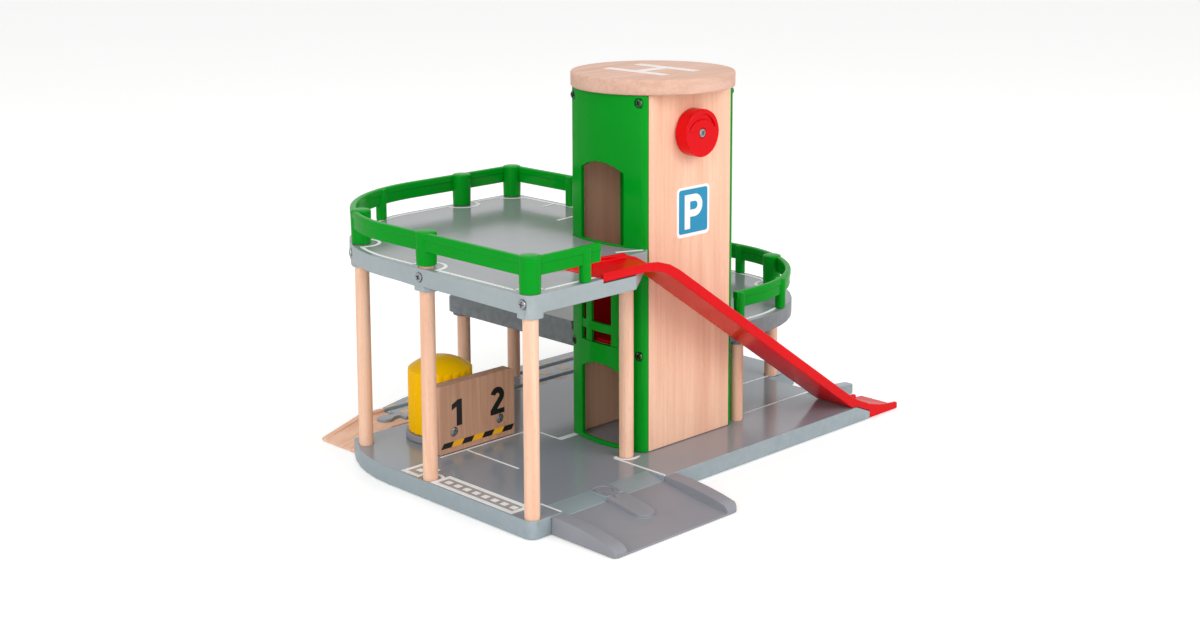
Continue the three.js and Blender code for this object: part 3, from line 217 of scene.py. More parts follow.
def beech_grain_group():
    tree, give, take = new_group("beech_grain", [
        ("NodeSocketVector", "Place", None),
        ("NodeSocketColor", "Light wood", rgb(240, 205, 178)),
        ("NodeSocketColor", "Dark wood", rgb(222, 178, 148)),
        ("NodeSocketColor", "Fleck", rgb(190, 136, 106)),
        ("NodeSocketFloat", "Fleck amount", 0.6),
        ("NodeSocketFloat", "Band size", 1.0),
    ], [("NodeSocketColor", "Color"), ("NodeSocketFloat", "Roughness"),
        ("NodeSocketFloat", "Height")])

    def stretched(amount):
        return add(tree, "ShaderNodeMapping", {
            "Vector": give["Place"], "Scale": (1, 1, amount)}).outputs[0]

    def noise(vector, scale, detail, rough=0.55, twist=0.0):
        return add(tree, "ShaderNodeTexNoise", {
            "Vector": vector, "Scale": scale, "Detail": detail, "Roughness": rough,
            "Distortion": twist}).outputs["Fac"]

    rings_per_band, (wide_share, ring_share, streak_share) = 9.0, (0.30, 0.34, 0.36)
    size = maths(tree, "DIVIDE", 1.0, give["Band size"])
    wide = noise(stretched(0.11), maths(tree, "MULTIPLY", size, 26.0), 2.0)
    rings = maths(tree, "FRACT", maths(tree, "MULTIPLY", wide, rings_per_band))
    rings = maths(tree, "PINGPONG", rings, 0.5)
    rings = spread(tree, rings, 0.0, 0.5, 0.0, 1.0)
    streaks = noise(stretched(0.03), 420.0, 3.0, 0.6, 0.3)
    wide_tone = maths(tree, "MULTIPLY", spread(tree, wide, 0.35, 0.65), wide_share)
    ring_tone = maths(tree, "MULTIPLY", rings, ring_share)
    streak_tone = maths(tree, "MULTIPLY", spread(tree, streaks, 0.34, 0.66), streak_share)
    tone = maths(tree, "ADD", wide_tone, maths(tree, "ADD", ring_tone, streak_tone))
    wood = mixed(tree, tone, give["Light wood"], give["Dark wood"])
    fleck = spread(tree, noise(stretched(0.12), 1700.0, 1.0, 0.4), 0.60, 0.72)
    fleck = maths(tree, "MULTIPLY", fleck, give["Fleck amount"])
    wood = mixed(tree, fleck, wood, give["Fleck"])
    tree.links.new(wood, take["Color"])
    rough = spread(tree, streaks, 0.3, 0.7, 0.50, 0.62)
    tree.links.new(rough, take["Roughness"])
    height = maths(tree, "SUBTRACT", streaks, maths(tree, "MULTIPLY", fleck, 0.35))
    tree.links.new(height, take["Height"])
    return tree


beech_grain = beech_grain_group()
print("group", beech_grain.name, "with", len(beech_grain.nodes), "nodes")

# %% Moulded plastic, and edges lightened as scuffs and painted highlight, as groups
def moulded_group():
    tree, give, take = new_group("moulded_plastic", [
        ("NodeSocketVector", "Place", None),
        ("NodeSocketColor", "Colour", (0.5, 0.5, 0.5, 1)),
        ("NodeSocketFloat", "Depth of tone", 0.06),
        ("NodeSocketFloat", "Gloss low", 0.24),
        ("NodeSocketFloat", "Gloss high", 0.34),
    ], [("NodeSocketColor", "Color"), ("NodeSocketFloat", "Roughness"),
        ("NodeSocketFloat", "Height")])
    flow = add(tree, "ShaderNodeTexNoise", {
        "Vector": give["Place"], "Scale": 24.0, "Detail": 2.0, "Roughness": 0.5})
    pores = add(tree, "ShaderNodeTexNoise", {
        "Vector": give["Place"], "Scale": 1900.0, "Detail": 1.0, "Roughness": 0.5})
    darker = mixed(tree, 1.0, give["Colour"], (0.72, 0.72, 0.72, 1), "MULTIPLY")
    tone = maths(tree, "MULTIPLY", spread(tree, flow.outputs["Fac"], 0.35, 0.65),
                 give["Depth of tone"])
    tree.links.new(mixed(tree, tone, give["Colour"], darker), take["Color"])
    smear = spread(tree, flow.outputs["Fac"], 0.35, 0.68)
    width = maths(tree, "SUBTRACT", give["Gloss high"], give["Gloss low"])
    tree.links.new(maths(tree, "ADD", give["Gloss low"], maths(tree, "MULTIPLY", smear, width)),
                   take["Roughness"])
    ripple = maths(tree, "MULTIPLY", flow.outputs["Fac"], 4.0)
    tree.links.new(maths(tree, "ADD", ripple, maths(tree, "MULTIPLY", pores.outputs["Fac"], 0.16)),
                   take["Height"])
    return tree


# Convex edges are paled: partly scuffs, and partly a painted highlight where the edges catch the
# light.
def edge_scuff_and_highlight_group():
    tree, give, take = new_group("edge_wear", [
        ("NodeSocketVector", "Place", None),
        ("NodeSocketFloat", "Amount", 0.25),
    ], [("NodeSocketFloat", "Mask")])
    sharp = add(tree, "ShaderNodeNewGeometry").outputs["Pointiness"]
    scuff_and_highlight_patches = add(tree, "ShaderNodeTexNoise", {
        "Vector": give["Place"], "Scale": 190.0, "Detail": 3.0, "Roughness": 0.6})
    edge = spread(tree, sharp, 0.515, 0.60)
    patchy = maths(tree, "MULTIPLY", edge, spread(tree, scuff_and_highlight_patches.outputs["Fac"], 0.35, 0.6))
    tree.links.new(maths(tree, "MULTIPLY", patchy, give["Amount"]), take["Mask"])
    return tree


moulded = moulded_group()
edge_wear = edge_scuff_and_highlight_group()
print("groups:", [g.name for g in bpy.data.node_groups])

# %% Materials from the groups
def place_socket(tree, turn=(0, 0, 0), move=(0, 0, 0)):
    where = add(tree, "ShaderNodeTexCoord")
    return add(tree, "ShaderNodeMapping", {
        "Vector": where.outputs["Object"], "Rotation": turn, "Location": move}).outputs[0]


def new_material(name, bump, distance):
    material = bpy.data.materials.new(name)
    material.use_nodes = True
    tree = material.node_tree
    surface = tree.nodes["Principled BSDF"]
    relief = add(tree, "ShaderNodeBump", {"Strength": bump, "Distance": distance})
    tree.links.new(relief.outputs[0], surface.inputs["Normal"])

    def connect(colour, rough, height):
        tree.links.new(colour, surface.inputs["Base Color"])
        tree.links.new(rough, surface.inputs["Roughness"])
        tree.links.new(height, relief.inputs["Height"])
        return material

    return tree, surface.inputs, connect


def beech(name, turn=(0, 0, 0), move=(0, 0, 0), light=(255, 213, 184), dark=(232, 178, 148),
          fleck=0.2, band=1.0):
    tree, surface, connect = new_material(name, 0.22, 0.00015)
    wood = add(tree, "ShaderNodeGroup", node_tree=beech_grain)
    tree.links.new(place_socket(tree, turn, move), wood.inputs["Place"])
    wood.inputs["Light wood"].default_value = rgb(*light)
    wood.inputs["Dark wood"].default_value = rgb(*dark)
    wood.inputs["Fleck amount"].default_value = fleck
    wood.inputs["Band size"].default_value = band
    surface["Specular IOR Level"].default_value = 0.35
    return connect(wood.outputs["Color"], wood.outputs["Roughness"], wood.outputs["Height"])


MOULD_RELIEF = 0.0003


def moulded_skin(tree, place, colour, tone, gloss, scuff_and_highlight, scuff_and_highlight_colour):
    skin = add(tree, "ShaderNodeGroup", {
        "Place": place, "Colour": rgb(*colour), "Depth of tone": tone, "Gloss low": gloss[0],
        "Gloss high": gloss[1]}, node_tree=moulded)
    scuff_and_highlight_patches = add(tree, "ShaderNodeGroup", {"Place": place, "Amount": scuff_and_highlight}, node_tree=edge_wear)
    # Pale edges are mixed in: scuffs and a painted highlight along the edges.
    body = mixed(tree, scuff_and_highlight_patches.outputs["Mask"], skin.outputs["Color"], scuff_and_highlight_colour)
    return body, skin.outputs["Roughness"], skin.outputs["Height"]


def plastic(name, colour, gloss=(0.22, 0.32), tone=0.25, scuff_and_highlight=0.08, coat=0.0, ripple=0.12,
            shine=0.5):
    tree, surface, connect = new_material(name, ripple, MOULD_RELIEF)
    # The paler edge colour stands for scuffs and for a painted highlight.
    paler = tuple(min(1.0, c * 1.35 + 0.05) for c in rgb(*colour)[:3]) + (1.0,)
    surface["Specular IOR Level"].default_value = shine
    surface["Coat Weight"].default_value = coat
    surface["Coat Roughness"].default_value = 0.08
    return connect(*moulded_skin(tree, place_socket(tree), colour, tone, gloss, scuff_and_highlight, paler))


ALONG_Z = (0, 0, 0)
ALONG_X = (0, math.radians(90), 0)
green = plastic("green_plastic", (0, 152, 32), gloss=(0.20, 0.30), scuff_and_highlight=0.02, coat=0.12,
                shine=0.03)
red = plastic("red_plastic", (222, 0, 12), gloss=(0.18, 0.28), scuff_and_highlight=0.02, coat=0.22, shine=0.04)
cab_red = plastic("cab_red_plastic", (200, 4, 18), gloss=(0.26, 0.36), shine=0.2)
yellow = plastic("yellow_plastic", (255, 196, 0), gloss=(0.24, 0.34), tone=0.12, scuff_and_highlight=0.02,
                 shine=0.06)
satin = plastic("satin_grey_plastic", (143, 145, 152), gloss=(0.42, 0.52), ripple=0.2)
bearing_white = plastic("bearing_plastic", (226, 226, 220), gloss=(0.35, 0.45))
post_beech = beech("post_beech", ALONG_Z)
wall_beech = beech("wall_beech", ALONG_Z, move=(0.21, 0.03, 0.4), band=1.8, fleck=0.15)
roof_beech = beech("roof_beech", ALONG_X, move=(0.4, 0.2, 0.1), light=(230, 190, 172),
                   dark=(206, 162, 138), fleck=0.35)
# The number wall's beech is darker than the other beech: painted shade, as the wall stands under
# the top deck.
panel_beech = beech("panel_beech", ALONG_Z, move=(0.7, 0.1, 0.2), light=(206, 160, 132),
                    dark=(178, 128, 102), band=0.7)
track_beech = beech("track_beech", ALONG_X, move=(0.1, 0.6, 0.3))
print("materials:", len(bpy.data.materials))

# %% [markdown]
# The road plates are light grey plastic whose flat top carries a darker, glossier print. Two
# materials on one mesh would need the print cut out as faces of its own. It is simpler to let the
# material ask which way a face looks: only level faces that look up are printed.

# %% Road plate, steel and print materials
PRINT_DARKER, PRINT_PALER = 34, 22


def road_plate(name, edge, top, top_gloss):
    tree, _, connect = new_material(name, 0.12, MOULD_RELIEF)
    place = place_socket(tree)
    # The plate edges are paled too: scuffs and a painted highlight.
    body, edge_rough, height = moulded_skin(tree, place, edge, 0.2, (0.34, 0.44), 0.2,
                                            rgb(205, 212, 216))
    facing = add(tree, "ShaderNodeNewGeometry").outputs["True Normal"]
    up = add(tree, "ShaderNodeSeparateXYZ", {0: facing}).outputs["Z"]
    printed = spread(tree, up, 0.985, 0.995)
    specks = add(tree, "ShaderNodeTexNoise", {"Vector": place, "Scale": 900.0, "Detail": 2.0})
    clouds = add(tree, "ShaderNodeTexNoise", {"Vector": place, "Scale": 9.0, "Detail": 2.0})
    ink = mixed(tree, spread(tree, specks.outputs["Fac"], 0.3, 0.7, 0.0, 0.16),
                rgb(*top), rgb(*(c - PRINT_DARKER for c in top)))
    ink = mixed(tree, spread(tree, clouds.outputs["Fac"], 0.35, 0.65, 0.0, 0.12),
                ink, rgb(*(c + PRINT_PALER for c in top)))
    top_rough = spread(tree, clouds.outputs["Fac"], 0.35, 0.65, *top_gloss)
    rough = add(tree, "ShaderNodeMix", {0: printed, 2: edge_rough, 3: top_rough})
    return connect(mixed(tree, printed, body, ink), rough.outputs[0], height)


def zinc(name, pale=(146, 148, 152), bright=(186, 187, 189)):
    tree, surface, connect = new_material(name, 0.15, 0.0001)
    blotch = add(tree, "ShaderNodeTexNoise", {
        "Vector": place_socket(tree), "Scale": 700.0, "Detail": 3.0}).outputs["Fac"]
    surface["Metallic"].default_value = 1.0
    return connect(mixed(tree, blotch, rgb(*pale), rgb(*bright)),
                   spread(tree, blotch, 0.3, 0.7, 0.22, 0.4), blotch)


def ink(name, colour, gloss=0.3, worn=0.12):
    tree, _, connect = new_material(name, 0.1, 0.00008)
    grain = add(tree, "ShaderNodeTexNoise", {
        "Vector": place_socket(tree), "Scale": 1400.0, "Detail": 2.0}).outputs["Fac"]
    fade = spread(tree, grain, 0.45, 0.75, 0.0, worn)
    faded = rgb(*(0.8 * c + 26 for c in colour))
    return connect(mixed(tree, fade, rgb(*colour), faded),
                   spread(tree, grain, 0.3, 0.7, gloss, gloss + 0.1), grain)


base_grey = road_plate("base_plate_grey", (148, 162, 168), (146, 153, 161), (0.13, 0.19))
deck_grey = road_plate("deck_grey", (158, 169, 172), (146, 148, 153), (0.14, 0.2))
# The middle deck's grey is a darker copy of the deck grey: painted shade, as it lies under the top
# deck.
mid_deck_shaded_grey = road_plate("mid_deck_grey", (112, 119, 124), (140, 143, 149), (0.14, 0.2))
steel = zinc("zinc_steel")
# The shell screws' steel is dark and green: painted shade of their recesses and a painted
# reflection of the green shell.
shell_screw_steel_painted_shade = zinc("dark_zinc_steel", (58, 92, 64), (96, 130, 100))
roof_ink = ink("roof_print", (238, 230, 226), worn=0.2)
white_ink = ink("white_print", (248, 250, 250), worn=0.06)
black_ink = ink("black_print", (10, 9, 9), worn=0.03)
yellow_ink = ink("yellow_print", (246, 176, 8))
blue_ink = ink("blue_print", (0, 141, 184))
brown_ink = ink("brown_print", (168, 160, 156))
tan_ink = ink("tan_print", (214, 184, 140))
# Pale sheet for the groove floors: painted light and reflection, since the grooves lie in shade.
groove_painted_light = ink("groove_print", (226, 237, 246), gloss=0.4)
print("finishes ready:", sorted(m.name for m in bpy.data.materials))

# %% [markdown]
# ## From the frame to finished pieces
# Most pieces have exactly the right shape in the frame, but their edges are mathematically sharp,
# which no moulded or sawn edge is. A copy is merged into one skin, its flat triangles are joined
# to whole faces, and its edges are rounded by a fraction of a millimetre so that they catch the
# light. Rebuilding each of them by hand would give the same shape with more room for mistakes.

# %% Helpers that finish a piece
PLATE_MIDDLE = (180.7, 123.7)
PLAN_ORIGIN = Vector((-PLATE_MIDDLE[0], -PLATE_MIDDLE[1], 0))


def plan(x, y, z):
    return (Vector((x, y, z)) + PLAN_ORIGIN) / 1000


def plan_fronts(node):
    return [corner.y * 1000 + PLATE_MIDDLE[1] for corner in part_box(node)]


def settle(piece, material, body="garage", instead_of=()):
    piece.data.materials.clear()
    piece.data.materials.append(material)
    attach(piece, body)
    if instead_of:
        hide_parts(*instead_of)


def from_bmesh(name, bm):
    mesh = bpy.data.meshes.new(name)
    bm.to_mesh(mesh)
    bm.free()
    piece = bpy.data.objects.new(name, mesh)
    scene.collection.objects.link(piece)
    return piece


def plain_mesh(piece):
    graph = bpy.context.evaluated_depsgraph_get()
    graph.update()
    mesh = bpy.data.meshes.new_from_object(piece.evaluated_get(graph))
    mesh.name = piece.name
    piece.modifiers.clear()
    piece.data = mesh


def smooth_but_sharp(piece, angle):
    piece.data.shade_smooth()
    piece.data.set_sharp_from_angle(angle=math.radians(angle))


def even_shading(piece):
    weigh = piece.modifiers.new("even", "WEIGHTED_NORMAL")
    weigh.keep_sharp, weigh.weight = True, 80
    plain_mesh(piece)


def rounded_edges(piece, width, segments=2, angle=32):
    piece.data.shade_smooth()
    bevel = piece.modifiers.new("round", "BEVEL")
    bevel.width, bevel.segments = width / 1000, segments
    bevel.limit_method, bevel.angle_limit = "ANGLE", math.radians(angle)
    bevel.use_clamp_overlap = False
    bevel.miter_outer = "MITER_ARC"
    even_shading(piece)


SAME_POINT, FLAT_ENOUGH = 3e-6, math.radians(0.7)


def finish_copies(rows):
    for node, material, slot, body, width in rows:
        bm = bmesh.new()
        bm.from_mesh(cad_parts[node].data)
        bmesh.ops.remove_doubles(bm, verts=bm.verts[:], dist=SAME_POINT)
        bmesh.ops.dissolve_limit(bm, angle_limit=FLAT_ENOUGH, verts=bm.verts[:],
                                 edges=bm.edges[:])
        piece = from_bmesh(node + "_finished", bm)
        rounded_edges(piece, width)
        settle(piece, material, body, (node,))
        print(piece.name, len(piece.data.polygons), "faces")


# %% Road plate and decks
finish_copies([
    ("base_plate", base_grey, "deck_grey", "garage", 0.6),
    ("top_deck", deck_grey, "deck_grey", "garage", 0.5),
    ("mid_deck", mid_deck_shaded_grey, "deck_grey", "garage", 0.5),
])

# %% Tower, slide and small moulded pieces
finish_copies([
    ("tower_left_shell", green, "green_plastic", "garage", 0.5),
    ("tower_right_shell", green, "green_plastic", "garage", 0.5),
    ("tower_front_wall", wall_beech, "beech", "garage", 0.8),
    ("tower_back_wall", wall_beech, "beech", "garage", 0.8),
    ("slide", red, "red_plastic", "garage", 0.8),
    ("number_wall", panel_beech, "beech", "garage", 0.6),
    ("tank_pedestal", satin, "satin_grey", "garage", 0.6),
    ("wooden_track", track_beech, "beech", "track", 0.5),
    ("entry_ramp", satin, "satin_grey", "ramp", 0.35),
    ("lift_cab", cab_red, "cab_red", "lift", 0.5),
])

# %% Hidden pieces keep their frame mesh and get their finish
KEPT = {
    "guide_rail_front": green, "guide_rail_back": green, "cord_eye": steel,
    "bush_front": bearing_white, "bush_back": bearing_white, "spindle": steel,
    "winding_drum": bearing_white, "spindle_collar": steel,
}
for node, material in KEPT.items():
    mesh_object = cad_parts[node]
    mesh_object.data.materials.clear()
    mesh_object.data.materials.append(material)
print("kept from the frame:", sorted(KEPT))

# %% [markdown]
# ## Railings
# Each railing is one green moulding: a flat band with a thicker rim along its top, thick sleeves
# over the dowels and thin stems between them. The band follows the deck's edge at a constant
# distance, so it is one cross-section moved along a path. A curve with a bevel object would do
# this too, but it pinches at corners; here each ring is widened at a corner instead.

# %% Outline helpers
def corner_path(corners, closed=True, step=4.0):
    points = []
    for i, (x, y, *r) in enumerate(corners):
        here, radius = Vector((x, y)), (r[0] if r else 0)
        if not radius or (not closed and i in (0, len(corners) - 1)):
            points.append(here)
            continue
        a = (Vector(corners[i - 1][:2]) - here).normalized()
        b = (Vector(corners[(i + 1) % len(corners)][:2]) - here).normalized()
        half = math.acos(max(-1, min(1, a.dot(b)))) / 2
        centre = here + (a + b).normalized() * radius / math.sin(half)
        start = here + a * radius / math.tan(half) - centre
        stop = here + b * radius / math.tan(half) - centre
        sweep = math.atan2(start.x * stop.y - start.y * stop.x, start.dot(stop))
        count = max(3, int(abs(math.degrees(sweep)) / step))
        points += [centre + Matrix.Rotation(sweep * k / count, 2) @ start
                   for k in range(count + 1)]
    return points


def on_circle(x, y, radius, degrees):
    angle = math.radians(degrees)
    return (x + radius * math.cos(angle), y + radius * math.sin(angle))


def arc(x, y, radius, start, stop, step=2.5):
    count = max(3, int(abs(stop - start) / step))
    return [on_circle(x, y, radius, start + (stop - start) * k / count)
            for k in range(count + 1)]


def circle(x, y, radius, sides):
    turns = [2 * math.pi * k / sides for k in range(sides)]
    return [(x + radius * math.cos(t), y + radius * math.sin(t)) for t in turns]


def across(points, closed=False):
    last = len(points) - 1
    for i, point in enumerate(points):
        before = points[i - 1] if closed or i else None
        after = points[(i + 1) % len(points)] if closed or i < last else None
        a = (point - before).normalized() if before is not None else (after - point).normalized()
        b = (after - point).normalized() if after is not None else a
        na, nb = Vector((-a.y, a.x)), Vector((-b.y, b.x))
        yield (na + nb) / (1 + na.dot(nb))


def join_rings(bm, one, two):
    size = len(one)
    for k in range(size):
        bm.faces.new((one[k], one[(k + 1) % size], two[(k + 1) % size], two[k]))


def sweep_section(bm, section, path):
    rings = [[bm.verts.new(plan(*(p + n * u), v)) for u, v in section]
             for p, n in zip(path, across(path))]
    for one, two in zip(rings, rings[1:]):
        join_rings(bm, one, two)
    bm.faces.new(rings[0])
    bm.faces.new(reversed(rings[-1]))


def turned(bm, x, y, profile, sides):
    rings = []
    for radius, z in profile:
        if radius == 0:
            rings.append([bm.verts.new(plan(x, y, z))] * sides)
        else:
            rings.append([bm.verts.new(plan(*spot, z)) for spot in circle(x, y, radius, sides)])
    for one, two in zip(rings, rings[1:]):
        for k in range(sides):
            corners = [one[k], one[(k + 1) % sides], two[(k + 1) % sides], two[k]]
            bm.faces.new([c for i, c in enumerate(corners) if c not in corners[:i]])


def finish_faces(bm):
    bmesh.ops.remove_doubles(bm, verts=bm.verts[:], dist=1e-6)
    bmesh.ops.recalc_face_normals(bm, faces=bm.faces[:])


# %% One railing from its path, sleeves and stems
RAIL_SIDE = [(1.6, 11.2, 0.7), (1.6, 18.4, 0.4), (2.2, 18.9, 0.4), (2.2, 23.4, 1.3)]
SLEEVE_TOP, STEM_TOP = 24.2, 23.1
FOOT_GAP, LIFTED_FOOT = 0.3, 1.2
SLEEVE_FOOT = [(0, 0), (6.4, 0), (6.7, 0.3)]
SLEEVE_CAP = [(7.1, 5.4), (7.1, 1.5), (6.9, 0.9), (6.4, 0.5), (5.2, 0.2), (3.2, 0.04), (0, 0)]
STEM_FOOT = [(0, 0), (3.6, 0), (3.9, 0.4)]
STEM_CAP = [(3.9, 1), (3.5, 0.3), (0, 0)]


def rail_section(deck):
    other = [(-out, height, soft) for out, height, soft in reversed(RAIL_SIDE)]
    corners = other[-1:] + RAIL_SIDE + other[:-1]
    return [(p.x, p.y + deck) for p in corner_path(corners, step=18)]


def upright(foot, foot_shape, top, cap_shape):
    return ([(radius, foot + rise) for radius, rise in foot_shape]
            + [(radius, top - drop) for radius, drop in cap_shape])


def make_railing(name, node, deck, path, sleeves, stems, lifted=None):
    bm = bmesh.new()
    sweep_section(bm, rail_section(deck), path)
    for x, y in sleeves:
        foot = deck + FOOT_GAP + (LIFTED_FOOT if (x, y) == lifted else 0)
        turned(bm, x, y, upright(foot, SLEEVE_FOOT, deck + SLEEVE_TOP, SLEEVE_CAP), 56)
    for x, y in stems:
        turned(bm, x, y, upright(deck + FOOT_GAP, STEM_FOOT, deck + STEM_TOP, STEM_CAP), 32)
    finish_faces(bm)
    piece = from_bmesh(name, bm)
    smooth_but_sharp(piece, 50)
    even_shading(piece)
    settle(piece, green, instead_of=(node,))
    print(name, len(piece.data.polygons), "faces,", len(sleeves), "sleeves,", len(stems), "stems")


# %% Where the railings run
TOP, MID, ROAD = 156.0, 85.5, 12.0
TOP_SWEEP, MID_SWEEP = (103.9, 138.5), (257, 133.6)
TOP_RAIL_RADIUS, MID_RAIL_RADIUS = 107.3, 96.8
LEFT_AIM, RIGHT_AIM = 151.7, -25
SIDE_POST = (0, 100)
SWEEP_POST = on_circle(*TOP_SWEEP, 103.1, LEFT_AIM)
RIGHT_POST = on_circle(*MID_SWEEP, 93.4, RIGHT_AIM)
BACK_ROW = 242.4
TOP_POSTS = [(0, 0), SIDE_POST, SWEEP_POST, (150, BACK_ROW), (201.4, BACK_ROW)]
MID_POSTS = [RIGHT_POST, (350.4, BACK_ROW)]
RAIL_FRONT, TOP_RIGHT, MID_FRONT, MID_RIGHT, RAIL_BACK = -3.4, 204.8, 36.8, 353.8, 245.8
TOP_END, MID_END = (TOP_RIGHT, 112.7), (216.2, RAIL_BACK)
RAIL_CORNER = 2.8
top_path = corner_path([
    (55.5, RAIL_FRONT), (RAIL_FRONT, RAIL_FRONT, RAIL_CORNER),
    *arc(*TOP_SWEEP, TOP_RAIL_RADIUS, 180, 90), (TOP_RIGHT, RAIL_BACK, RAIL_CORNER), TOP_END],
    closed=False)
mid_path = corner_path([
    (232.6, MID_FRONT), *arc(*MID_SWEEP, MID_RAIL_RADIUS, -90, 0),
    (MID_RIGHT, RAIL_BACK, RAIL_CORNER), MID_END], closed=False)
make_railing("top_railing_moulding", "top_railing", TOP, top_path, TOP_POSTS, [
    (43.3, RAIL_FRONT), on_circle(*TOP_SWEEP, TOP_RAIL_RADIUS, 107.4), (TOP_RIGHT, 179.25),
    TOP_END], lifted=SIDE_POST)
make_railing("mid_railing_moulding", "mid_railing", MID, mid_path, MID_POSTS, [
    (237, MID_FRONT), on_circle(*MID_SWEEP, MID_RAIL_RADIUS, -70), (MID_RIGHT, 137.5),
    (MID_RIGHT, 189.7), (285.0, RAIL_BACK), MID_END])

# %% [markdown]
# ## Dowels and screws
# Nine beech dowels carry the decks, and more than twenty equal screws hold the garage together.
# Things that repeat are worth a Geometry Nodes tree: one tree turns any edge into a round dowel,
# and the other sets one screw on every point, turned by a different angle each time.

# %% Trees and how they are run
def new_maker(name, inputs):
    tree = bpy.data.node_groups.new(name, "GeometryNodeTree")
    tree.interface.new_socket("Geometry", in_out="INPUT", socket_type="NodeSocketGeometry")
    for kind, label, value in inputs:
        socket = tree.interface.new_socket(label, in_out="INPUT", socket_type=kind)
        if value is not None:
            socket.default_value = value
    tree.interface.new_socket("Geometry", in_out="OUTPUT", socket_type="NodeSocketGeometry")
    enter = tree.nodes.new("NodeGroupInput")
    leave = tree.nodes.new("NodeGroupOutput")
    return tree, enter.outputs, leave.inputs


def run_maker(piece, tree, values):
    step = piece.modifiers.new(tree.name, "NODES")
    step.node_group = tree
    for item in tree.interface.items_tree:
        if item.in_out == "INPUT" and item.name in values:
            step[item.identifier] = values[item.name]
    plain_mesh(piece)


def end_maker(tree, give, take, shape):
    real = add(tree, "GeometryNodeRealizeInstances", {0: shape})
    done = add(tree, "GeometryNodeSetMaterial", {
        "Geometry": real.outputs[0], "Material": give["Finish"]})
    tree.links.new(done.outputs[0], take[0])
    return tree


def loose_mesh(name, points, edges=()):
    mesh = bpy.data.meshes.new(name)
    mesh.from_pydata([tuple(p) for p in points], list(edges), [])
    piece = bpy.data.objects.new(name, mesh)
    scene.collection.objects.link(piece)
    return piece


def dowel_tree():
    tree, give, take = new_maker("dowels_on_edges", [
        ("NodeSocketFloat", "Radius", 0.005), ("NodeSocketInt", "Sides", 48),
        ("NodeSocketMaterial", "Finish", None)])
    line = add(tree, "GeometryNodeMeshToCurve", {"Mesh": give["Geometry"]})
    ring = add(tree, "GeometryNodeCurvePrimitiveCircle", {
        "Resolution": give["Sides"], "Radius": give["Radius"]})
    rod = add(tree, "GeometryNodeCurveToMesh", {
        "Curve": line.outputs[0], "Profile Curve": ring.outputs["Curve"], "Fill Caps": True})
    return end_maker(tree, give, take, rod.outputs[0])


dowels_on_edges = dowel_tree()

# %% The nine dowels
DOWEL_RADIUS, DOWEL_SIDES = 0.005, 48
posts = sorted(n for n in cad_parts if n.startswith("post_"))
ends = []
for node in posts:
    low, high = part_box(node)
    x, y = (low.x + high.x) / 2, (low.y + high.y) / 2
    ends += [(x, y, low.z), (x, y, high.z)]
dowels = loose_mesh("beech_dowels", ends, [(i, i + 1) for i in range(0, len(ends), 2)])
run_maker(dowels, dowels_on_edges, {
    "Radius": DOWEL_RADIUS, "Sides": DOWEL_SIDES, "Finish": post_beech})
smooth_but_sharp(dowels, 40)
settle(dowels, post_beech, instead_of=posts)
print("dowels:", len(posts), "faces:", len(dowels.data.polygons))

# %% One screw: a domed head with a cross recess, and its shank
SCREW_SIDES = 24
SCREW_PROFILE = [(1.5, -5.5), (1.5, -1.4), (2.9, -1.4), (3.0, -1.2), (3.0, -0.5), (2.8, -0.15),
                 (2.4, 0.0)]
RECESS_ARM, RECESS_HALF, RECESS_TAPER, RECESS_DEPTH = 1.9, 0.5, 0.8, 1.1


def screw_pattern():
    bm = bmesh.new()
    rings = [[bm.verts.new((*spot, z)) for spot in circle(0, 0, radius, SCREW_SIDES)]
             for radius, z in SCREW_PROFILE]
    for one, two in zip(rings, rings[1:]):
        join_rings(bm, one, two)
    bm.faces.new(list(reversed(rings[0])))
    arm, half = RECESS_ARM, RECESS_HALF
    cross = [(arm, -half), (arm, half), (half, half), (half, arm), (-half, arm), (-half, half),
             (-arm, half), (-arm, -half), (-half, -half), (-half, -arm), (half, -arm),
             (half, -half)]
    top = [bm.verts.new((x, y, 0)) for x, y in cross]
    floor = [bm.verts.new((x * RECESS_TAPER, y * RECESS_TAPER, -RECESS_DEPTH)) for x, y in cross]
    corners = len(cross)
    for k in range(corners):
        after = (k + 1) % corners
        bm.faces.new((top[after], top[k], floor[k], floor[after]))
    bm.faces.new(floor)
    borders = [bm.edges.get((loop[k], loop[(k + 1) % len(loop)]))
               for loop in (rings[-1], top) for k in range(len(loop))]
    bmesh.ops.triangle_fill(bm, use_beauty=True, edges=borders)
    bmesh.ops.recalc_face_normals(bm, faces=bm.faces[:])
    bmesh.ops.scale(bm, vec=(0.001,) * 3, verts=bm.verts[:])
    piece = from_bmesh("screw_pattern", bm)
    smooth_but_sharp(piece, 35)
    return piece


def screw_tree():
    tree, give, take = new_maker("screws_on_points", [
        ("NodeSocketObject", "Screw", None), ("NodeSocketInt", "Seed", 4),
        ("NodeSocketMaterial", "Finish", None)])
    aim = add(tree, "GeometryNodeInputNamedAttribute", {"Name": "outward"},
              data_type="FLOAT_VECTOR")
    turn = add(tree, "FunctionNodeAlignRotationToVector", {"Vector": aim.outputs[0]}, axis="Z")
    chance = add(tree, "FunctionNodeRandomValue", {"Seed": give["Seed"]}, data_type="FLOAT")
    chance.inputs[3].default_value = math.pi / 2
    spin = add(tree, "ShaderNodeCombineXYZ", {"Z": chance.outputs[1]})
    spin = add(tree, "FunctionNodeEulerToRotation", {0: spin.outputs[0]})
    both = add(tree, "FunctionNodeRotateRotation", {
        "Rotation": turn.outputs[0], "Rotate By": spin.outputs[0]}, rotation_space="LOCAL")
    screw = add(tree, "GeometryNodeObjectInfo", {"Object": give["Screw"]})
    placed = add(tree, "GeometryNodeInstanceOnPoints", {
        "Points": give["Geometry"], "Instance": screw.outputs["Geometry"],
        "Rotation": both.outputs[0]})
    return end_maker(tree, give, take, placed.outputs[0])


